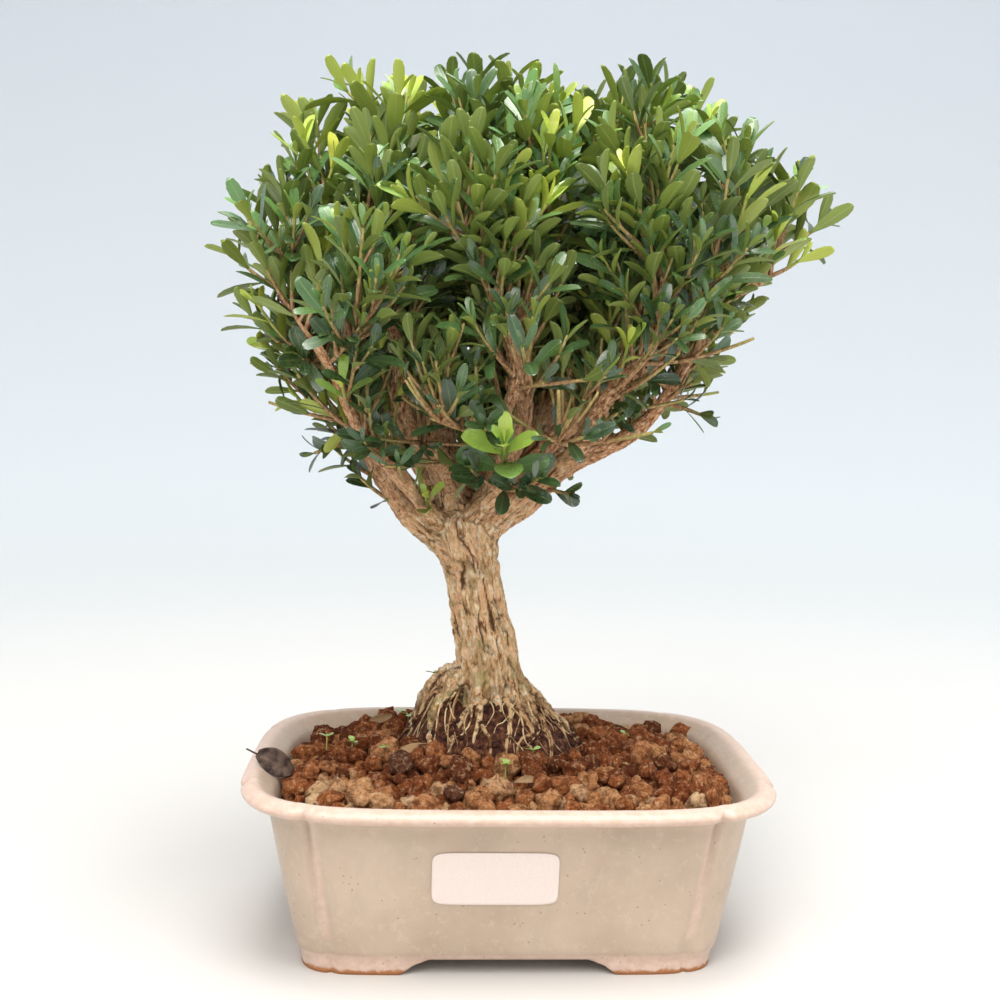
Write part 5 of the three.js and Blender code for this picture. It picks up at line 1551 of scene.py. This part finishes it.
def leaves_along(shoots, rng):
    """Leaf pairs at steps back from each path's end: small, upright and fresh there, fuller further back."""
    paths = shoots["path"]
    frames = frames_along(paths)
    step = np.linalg.norm(np.diff(paths, axis=1), axis=-1)
    run = np.concatenate([np.zeros((len(paths), 1)), np.cumsum(step, axis=1)], axis=1)
    back = np.cumsum(PAIR_GAPS)
    rows = []
    for n in range(len(paths)):
        total = run[n, -1]
        for k in range(int(np.sum(total - back > shoots["bare"][n] * total))):
            spot, here, aside, over = (
                np.array([np.interp(total - back[k], run[n], part[n, :, axis]) for axis in range(3)])
                for part in (paths, *frames)
            )
            turn = n * 1.9 + k * np.pi / 2 + rng.normal(0, 0.16)
            for side in (0, np.pi):
                out = np.cos(turn + side) * aside + np.sin(turn + side) * over
                tilt = PAIR_LEANS[k] + rng.normal(0, 0.13)
                blade = unit(here * np.cos(tilt) + out * np.sin(tilt) + 0.14 * UP)
                face = unit(np.cross(blade, np.cross(here * np.sin(tilt) - out * np.cos(tilt), blade)))
                rows.append({
                    "foot": spot, "way": blade, "face": face, "across": np.cross(face, blade), "shoot": n,
                    "size": shoots["large"][n] * PAIR_SIZES[k] * rng.uniform(0.84, 1.12),
                    # The tone draw is scaled by the shoot's lit share: painted shade that darkens leaves low
                    # in the crown.
                    "draw": shoots["lit"][n] * rng.random(),
                    "fresh": np.clip(shoots["fresh"][n] * (1.0 - 0.2 * k), 0, 1),
                    "wide": shoots["broad"][n] * rng.uniform(0.88, 1.12) * (1 + 0.03 * k),
                    "cup": rng.uniform(0.1, 0.5), "arch": rng.uniform(0.06, 0.34),
                    "twist": rng.normal(0, 0.22),
                })
    return {key: np.array([row[key] for row in rows]) for key in rows[0]}


def clear_leaves(leaves, shoots, limbs):
    """The leaves that stand clear of the wood and of the leaves of earlier shoots, by four spots on each.
    Those below the crown's outline go too, and so do most of those that would hide a shown bough."""
    trunk = trunk_centre(np.arange(60, 168, 3.0))
    wood_at = np.concatenate([limb["at"][::3] for limb in limbs] + [trunk[:, :3]])
    wood_r = np.concatenate([limb["r"][::3] for limb in limbs] + [trunk[:, 3]])
    shares = LEAF_SPOTS[None, :, None] * LEAF["length"] * leaves["size"][:, None, None]
    spots = leaves["foot"][:, None] + shares * leaves["way"][:, None]
    flat = spots.reshape(-1, 3)
    under = np.any(under_crown(flat).reshape(spots.shape[:2]), axis=1)
    before = np.any(before_boughs(flat, limbs).reshape(spots.shape[:2]), axis=1)
    kept_share = shoots["kept"][leaves["shoot"]]
    thinning = leaves["draw"] < kept_share * shoots["lit"][leaves["shoot"]]
    keep = (~under | (kept_share == 1)) & (~before | thinning)
    for first in range(0, len(spots), LEAF_BATCH):
        batch = slice(first, first + LEAF_BATCH)
        clear = np.linalg.norm(spots[batch, :, None] - wood_at, axis=-1) > wood_r + WOOD_GAP
        keep[batch] &= np.all(clear, axis=(1, 2))
    kept = np.empty((0, 3))
    for shoot in range(leaves["shoot"].max() + 1):
        mine = np.flatnonzero((leaves["shoot"] == shoot) & keep)
        if not len(mine):
            continue
        low, high = spots[mine].min(axis=(0, 1)) - 3, spots[mine].max(axis=(0, 1)) + 3
        close = kept[np.all((kept > low) & (kept < high), axis=1)]
        if len(close):
            gaps = np.linalg.norm(spots[mine][:, :, None] - close, axis=-1).min(axis=(1, 2))
            keep[mine[gaps < LEAF_GAP]] = False
        kept = np.concatenate([kept, spots[mine[keep[mine]]].reshape(-1, 3)])
    return {key: value[keep] for key, value in leaves.items()}


def low_shoots(limbs):
    """The sprigs low in the crown, each springing from the nearest spot on a bough's middle line."""
    wood = np.concatenate([limb["at"] for limb in limbs])
    shoots = []
    for sprig in LOW_SPRIGS:
        nearest = np.argmin(np.linalg.norm(wood - sprig["foot"], axis=1))
        shoots.append({"foot": wood[nearest], "end": np.array(sprig["end"], float)})
    return shoots


def grown_shoots(limbs, sprays):
    """Every shoot of the crown by its kind, with its path, thickness, bare foot, freshness and leaves."""
    rng = np.random.default_rng(SEEDS["crown"])
    room = Room()
    for index, bough in enumerate(BOUGHS):
        u = np.arange(41) / 40
        thick, thin, _ = bough
        room.take(bough_points(bough, u), lerp(thick, thin, u**0.8) * 1.1, index)
    mains = main_shoots(room)
    if len(mains) != len(sprays):
        raise ValueError(f"{len(mains)} sprays were grown, and the frame has {len(sprays)}")
    paths = {
        "low": paths_of(low_shoots(limbs)),
        "main": np.stack([shoot["at"](np.linspace(0, 1, SHOOT_STATIONS)) for shoot in mains]),
        "side": paths_of(side_shoots(mains, room)),
        "fill": paths_of(filling_shoots(mains, limbs)),
    }
    twigs = twigs_on(paths["main"], rng, (0.3, 0.64), (14, 28))
    twigs += twigs_on(paths["fill"], rng, (0.34, 0.66), (14, 26))
    twig_paths = paths_of(twigs)
    ends = twig_paths[:, -1]
    paths["twig"] = twig_paths[~before_boughs(ends, limbs) & ~under_crown(ends)]
    kinds = [SHOOT_KINDS[kind] for kind, group in paths.items() for _ in group]
    shoots = {key: np.array([kind[key] for kind in kinds]) for key in kinds[0]}
    shoots["path"] = np.concatenate(list(paths.values()))
    height = smooth(215, 320, shoots["path"][:, -1, 2])
    shoots["large"] = shoots["large"] * lerp(0.8, 1.12, smooth(190, 310, shoots["path"][:, -1, 2]))
    # Painted shade: this lit share scales the leaves' tone draws, so shoots low in the crown get darker
    # greens.
    shoots["lit"] = lerp(0.3, 1.0, smooth(190, 290, shoots["path"][:, -1, 2]))
    shoots["large"][:len(LOW_SPRIGS)] = [sprig.get("large", 0.66) for sprig in LOW_SPRIGS]
    fresh = rng.beta(0.7, 2.4, len(kinds)) * (0.4 + 0.7 * height)
    fresh[rng.random(len(kinds)) < 0.07 + 0.12 * height] = 1.1
    fresh[:len(LOW_SPRIGS)] = [sprig["fresh"] for sprig in LOW_SPRIGS]
    shoots["fresh"] = fresh
    return shoots, paths["main"][:, -1]


def foliage_pieces(shoots, tips, limbs, sprays, look):
    """The leaves, parted by the bearing of the nearest spray's tip round the crown, a piece each."""
    leaves = leaves_along(shoots, np.random.default_rng(SEEDS["leaves"]))
    leaves = clear_leaves(leaves, shoots, limbs)
    bearing = np.arctan2(tips[:, 1], tips[:, 0] - CROWN_CENTRE[0])
    part_of = np.empty(len(tips), int)
    part_of[np.argsort(bearing)] = np.arange(len(tips)) * FOLIAGE_PARTS // len(tips)
    nearest = np.argmin(np.linalg.norm(shoots["path"][:, -1][:, None] - tips, axis=-1), axis=1)
    leaf_part = part_of[nearest][leaves["shoot"]]
    for part in range(FOLIAGE_PARTS):
        mine = {key: value[leaf_part == part] for key, value in leaves.items()}
        foliage = Gathered()
        values = {key: mine[key][:, None] for key in ("fresh", "draw")}
        foliage.add(leaf_points(mine), ring_faces(len(LEAF_STATIONS), LEAF_SIDES), **values)
        nodes = [name for index, name in enumerate(sprays) if part_of[index] == part]
        foliage.piece(f"foliage_{part + 1}", look, nodes, rims=LEAF_SIDES)


def stems_piece(shoots, look):
    """A tapering tube along each shoot, greener towards its tip, with half as many rings on the twigs."""
    stems = Gathered()
    slim = shoots["thick"][:, 0] < 0.8
    for chosen, step in [(~slim, 1), (slim, 2)]:
        paths = shoots["path"][chosen, ::step]
        along = np.linspace(0, 1, paths.shape[1])[None]
        thick = shoots["thick"][chosen]
        green = smooth(0.3, 0.8, along) * (0.4 + 0.6 * shoots["fresh"][chosen, None])
        rings = tubes(paths, lerp(thick[:, :1], thick[:, 1:], along), STEM_SIDES)
        green = np.repeat(green, STEM_SIDES, axis=1)
        stems.add(rings, ring_faces(paths.shape[1], STEM_SIDES), fresh=green)
    stems.piece("stems", look)


# Small things on the soil.
SEEDLINGS = [
    {"x": -39, "y": 30, "tall": 6, "size": 0.38}, {"x": -61, "y": -2, "tall": 3.6, "size": 0.24},
    {"x": -46, "y": -14, "tall": 4.4, "size": 0.28}, {"x": -72, "y": 13, "tall": 3.6, "size": 0.2},
    {"x": -2, "y": -36, "tall": 4.4, "size": 0.26}, {"x": 10, "y": -18, "tall": 4, "size": 0.2},
    {"x": -28, "y": 10, "tall": 3, "size": 0.24}, {"x": 22, "y": 44, "tall": 3, "size": 0.22},
    {"x": 52, "y": 20, "tall": 1.6, "size": 0.2}, {"x": 8, "y": -30, "tall": 2.2, "size": 0.15},
]
SEEDLING_LEAF = {"wide": 2.3, "fresh": 0.7, "draw": 0.4, "cup": 0.1}
SEEDLING_STEM = 0.3
DRY_STALK = 0.35
THREAD_SIDES = 6
DRY_CURL = {"cup": 0.55, "arch": 0.16, "twist": 0.5}
DRY_LEAVES = [
    {"at": (-96, -17, 71), "way": (0.9, -0.1, -0.42), "up": (0.1, -0.7, 0.7),
     "size": 0.9, "wide": 2.1, "draw": 0},
    {"at": (-42, -12, 71), "way": (0.95, -0.1, 0.12), "up": (0, -0.5, 0.8),
     "size": 0.9, "wide": 1.1, "draw": 0.9},
    {"at": (-56, 40, 69), "way": (0.8, -0.3, 0.3), "up": (0, -0.8, 0.5),
     "size": 0.6, "wide": 1.2, "draw": 0.7},
    {"at": (2, -41, 68), "way": (0.9, 0.3, 0.1), "up": (0, -0.4, 0.9),
     "size": 0.5, "wide": 1.3, "draw": 0.6},
    {"at": (56, 32, 68), "way": (-0.5, 0.7, 0.1), "up": (0, -0.2, 1), "size": 0.7, "wide": 1.1, "draw": 0.8},
]


def loose_leaves(items):
    """Rows for leaves that lie or stand at given places and ways, with the upper side turned as given."""
    way = unit(np.array([item["way"] for item in items], float))
    across = unit(np.cross(np.array([item.get("up", UP) for item in items], float), way))
    face = np.cross(way, across)
    keys = ("size", "wide", "draw", "fresh", "cup", "arch", "twist")
    rows = {key: np.array([item.get(key, 0.2) for item in items], float) for key in keys}
    return {"foot": np.array([item["at"] for item in items], float), "way": way, "face": face,
            "across": np.cross(face, way), **rows}


def seedling_pieces(look, stem):
    """Seedlings: a bent thread of a stem with two round leaves and a smaller pair between them."""
    rng = np.random.default_rng(SEEDS["seedlings"])
    items = []
    paths = []
    for sprout in SEEDLINGS:
        x, y = sprout["x"], sprout["y"]
        ground = max(soil_height(x, y), float(mound_height(np.array(x), np.array(y))) - 1)
        top = np.array([x + rng.normal(0, 0.8), y + rng.normal(0, 0.8), ground + sprout["tall"] + 2])
        foot = np.array([x, y, ground - 1], float)
        paths.append(shoot_curve(foot, top)[0](np.linspace(0, 1, SHOOT_STATIONS)))
        for k in range(4):
            turn = k * np.pi / 2 + x + rng.normal(0, 0.3)
            way = (math.cos(turn), math.sin(turn), rng.uniform(0.3, 0.8))
            size = sprout["size"] * (0.55 if k % 2 else rng.uniform(0.85, 1.1))
            items.append({**SEEDLING_LEAF, "at": top, "way": way, "size": size})
    paths = np.stack(paths)
    leaves = loose_leaves(items)
    sprouts = Gathered()
    values = {key: leaves[key][:, None] for key in ("fresh", "draw")}
    sprouts.add(leaf_points(leaves), ring_faces(len(LEAF_STATIONS), LEAF_SIDES), **values)
    sprouts.piece("seedling_leaves", look, rims=LEAF_SIDES)
    threads = Gathered()
    rings = tubes(paths, np.full(paths.shape[:2], SEEDLING_STEM), THREAD_SIDES)
    threads.add(rings, ring_faces(SHOOT_STATIONS, THREAD_SIDES), fresh=np.ones(rings.shape[:2]))
    threads.piece("seedling_stems", stem)


def withered_leaves_piece(look):
    """Fallen leaves, curled up along the midrib, each with its thin stalk."""
    leaves = loose_leaves([{**item, **DRY_CURL} for item in DRY_LEAVES])
    fallen = Gathered()
    points = leaf_points(leaves, BROAD_STATIONS, BROAD_WIDTHS, BROAD_SIDES)
    fallen.add(points, ring_faces(len(BROAD_STATIONS), BROAD_SIDES), draw=leaves["draw"][:, None])
    t = np.linspace(-5, 1, 6)[None, :, None]
    stalks = leaves["foot"][:, None] + leaves["size"][:, None, None] * t * leaves["way"][:, None]
    rings = tubes(stalks, np.full(stalks.shape[:2], DRY_STALK), THREAD_SIDES)
    fallen.add(rings, ring_faces(stalks.shape[1], THREAD_SIDES), draw=leaves["draw"][:, None])
    fallen.piece("withered_leaves", look)


# Floor, lights and camera. Each light: where it stands and aims in metres, its size, its watts and its tint.
LIGHTS = {
    "key_light": ((-0.5, -1.2, 1.4), (0, 0, 0.18), 0.9, 17.5, (1.0, 0.96, 0.91)),
    "fill_light": ((1.1, -0.9, 0.9), (0, 0, 0.18), 1.2, 5.5, (1.0, 0.97, 0.94)),
    "top_light": ((0.1, -0.4, 1.7), (0, 0.3, 0.2), 1.0, 32.5, (1.0, 0.99, 0.96)),
    "back_light": ((0.3, 2.2, 2.0), (0, 0, 0.18), 2.0, 18, (0.95, 0.98, 1.0)),
}
WORLD_TINT = (0.86, 0.92, 1.0, 1.0)
WORLD_STRENGTH = 0.4
FLOOR_SIDES = 64
FLOOR_FLAT = 900
FLOOR_CURVE = (1900, 2600)
FLOOR_BLEND = (0.3, 2.5)
FLOOR_NEAR = (0.64, 0.62, 0.595, 1)
FLOOR_MIDDLE = (0.68, 0.72, 0.735, 1)
FLOOR_FAR = (0.68, 0.71, 0.745, 1)


def pale_floor_look():
    """Matt paper, warm white near the object and cooler far from it."""
    look = Look("pale_floor", Roughness=0.9, Specular_IOR_Level=0.2)
    far = look.node("ShaderNodeVectorMath", {0: look.place()}, operation="LENGTH").outputs["Value"]
    far = look.range(far, *FLOOR_BLEND)
    colour = look.ramp(far, (0.0, FLOOR_NEAR), (0.48, FLOOR_MIDDLE), (1.0, FLOOR_FAR))
    return look.finish(colour)


def studio():
    """A plain pale floor that curves up all round, far from the object, and broad soft lights inside it."""
    turn = np.linspace(0, np.pi / 2, 24)
    reach = np.concatenate([[1, 400, FLOOR_FLAT], FLOOR_FLAT + FLOOR_CURVE[0] * np.sin(turn[1:])])[:, None]
    rise = np.concatenate([[0, 0, 0], FLOOR_CURVE[1] * (1 - np.cos(turn[1:]))])[:, None]
    angle = 2 * np.pi * np.arange(FLOOR_SIDES)[None] / FLOOR_SIDES
    x, y = reach * np.cos(angle), reach * np.sin(angle)
    rings = np.stack([x, y, np.broadcast_to(rise, x.shape)], -1) - (0, 0, 0.05)
    wall, _ = ring_faces(len(reach), FLOOR_SIDES)
    floor = Gathered()
    floor.add(rings.reshape(1, -1, 3), [wall])
    made = placed("floor", floor.mesh("floor"))
    made.data.materials.append(pale_floor_look())
    for name, (place, target, size, power, tint) in LIGHTS.items():
        lamp = bpy.data.lights.new(name, "AREA")
        lamp.size = size
        lamp.energy = power
        lamp.color = tint
        aim = np.array(target) - np.array(place)
        placed(name, lamp).matrix_world = facing(np.array(place), unit(aim), UP)
    world = bpy.data.worlds.new("soft_room")
    world.use_nodes = True
    background = world.node_tree.nodes["Background"]
    background.inputs["Color"].default_value = WORLD_TINT
    background.inputs["Strength"].default_value = WORLD_STRENGTH
    bpy.context.scene.world = world
    bpy.context.scene.view_settings.view_transform = "Standard"


def facing(place, way, up):
    """A matrix at a place whose -Z runs along way and whose +Y is as near up as it can be."""
    right = unit(np.cross(way, up))
    over = np.cross(right, way)
    columns = np.eye(4)
    columns[:3, 0], columns[:3, 1], columns[:3, 2], columns[:3, 3] = right, over, -way, place
    return Matrix(columns.tolist())


def camera():
    """Right and forward from the turn, forward tipped down, and both turned about the view by the roll."""
    turn, tilt, roll = CAMERA["turn"], CAMERA["tilt"], CAMERA["roll"]
    right = np.array([math.cos(turn), -math.sin(turn), 0])
    level = np.array([math.sin(turn), math.cos(turn), 0])
    forward = level * math.cos(tilt) - UP * math.sin(tilt)
    over = level * math.sin(tilt) + UP * math.cos(tilt)
    rolled = -math.sin(roll) * right + math.cos(roll) * over
    lens = bpy.data.cameras.new("view")
    lens.lens = CAMERA["lens"]
    lens.sensor_width = 36
    lens.clip_start = 0.02
    lens.clip_end = 20
    made = placed("view", lens)
    made.matrix_world = facing(EYE * MM + HOME, forward, rolled)
    bpy.context.scene.camera = made


def dress_screens(look):
    """Gives the two drain screens of the frame their look in place of the plain one."""
    for name in ("drain_screen_left", "drain_screen_right"):
        made = bpy.data.objects[name]
        made.data.materials.clear()
        made.data.materials.append(look)


camera()
studio()
bark = bark_look()
leaf = leaf_look()
stem = stem_look()
compost = compost_look()
pot_piece(glaze_look())
label_piece(paper_look())
dress_screens(screen_look())
compost_piece(compost)
gravel_pieces(compost, gravel_look())
crumbs_piece(compost)
boughs = bough_frames()
trunk_piece(boughs, bark)
boughs_piece(boughs, bark)
fine_roots_piece(root_look())
sprays = sorted(name for name in frame["nodes"] if name.startswith("spray_"))
shoots, spray_ends = grown_shoots(boughs, sprays)
foliage_pieces(shoots, spray_ends, boughs, sprays, leaf)
stems_piece(shoots, stem)
seedling_pieces(leaf, stem)
withered_leaves_piece(dry_leaf_look())
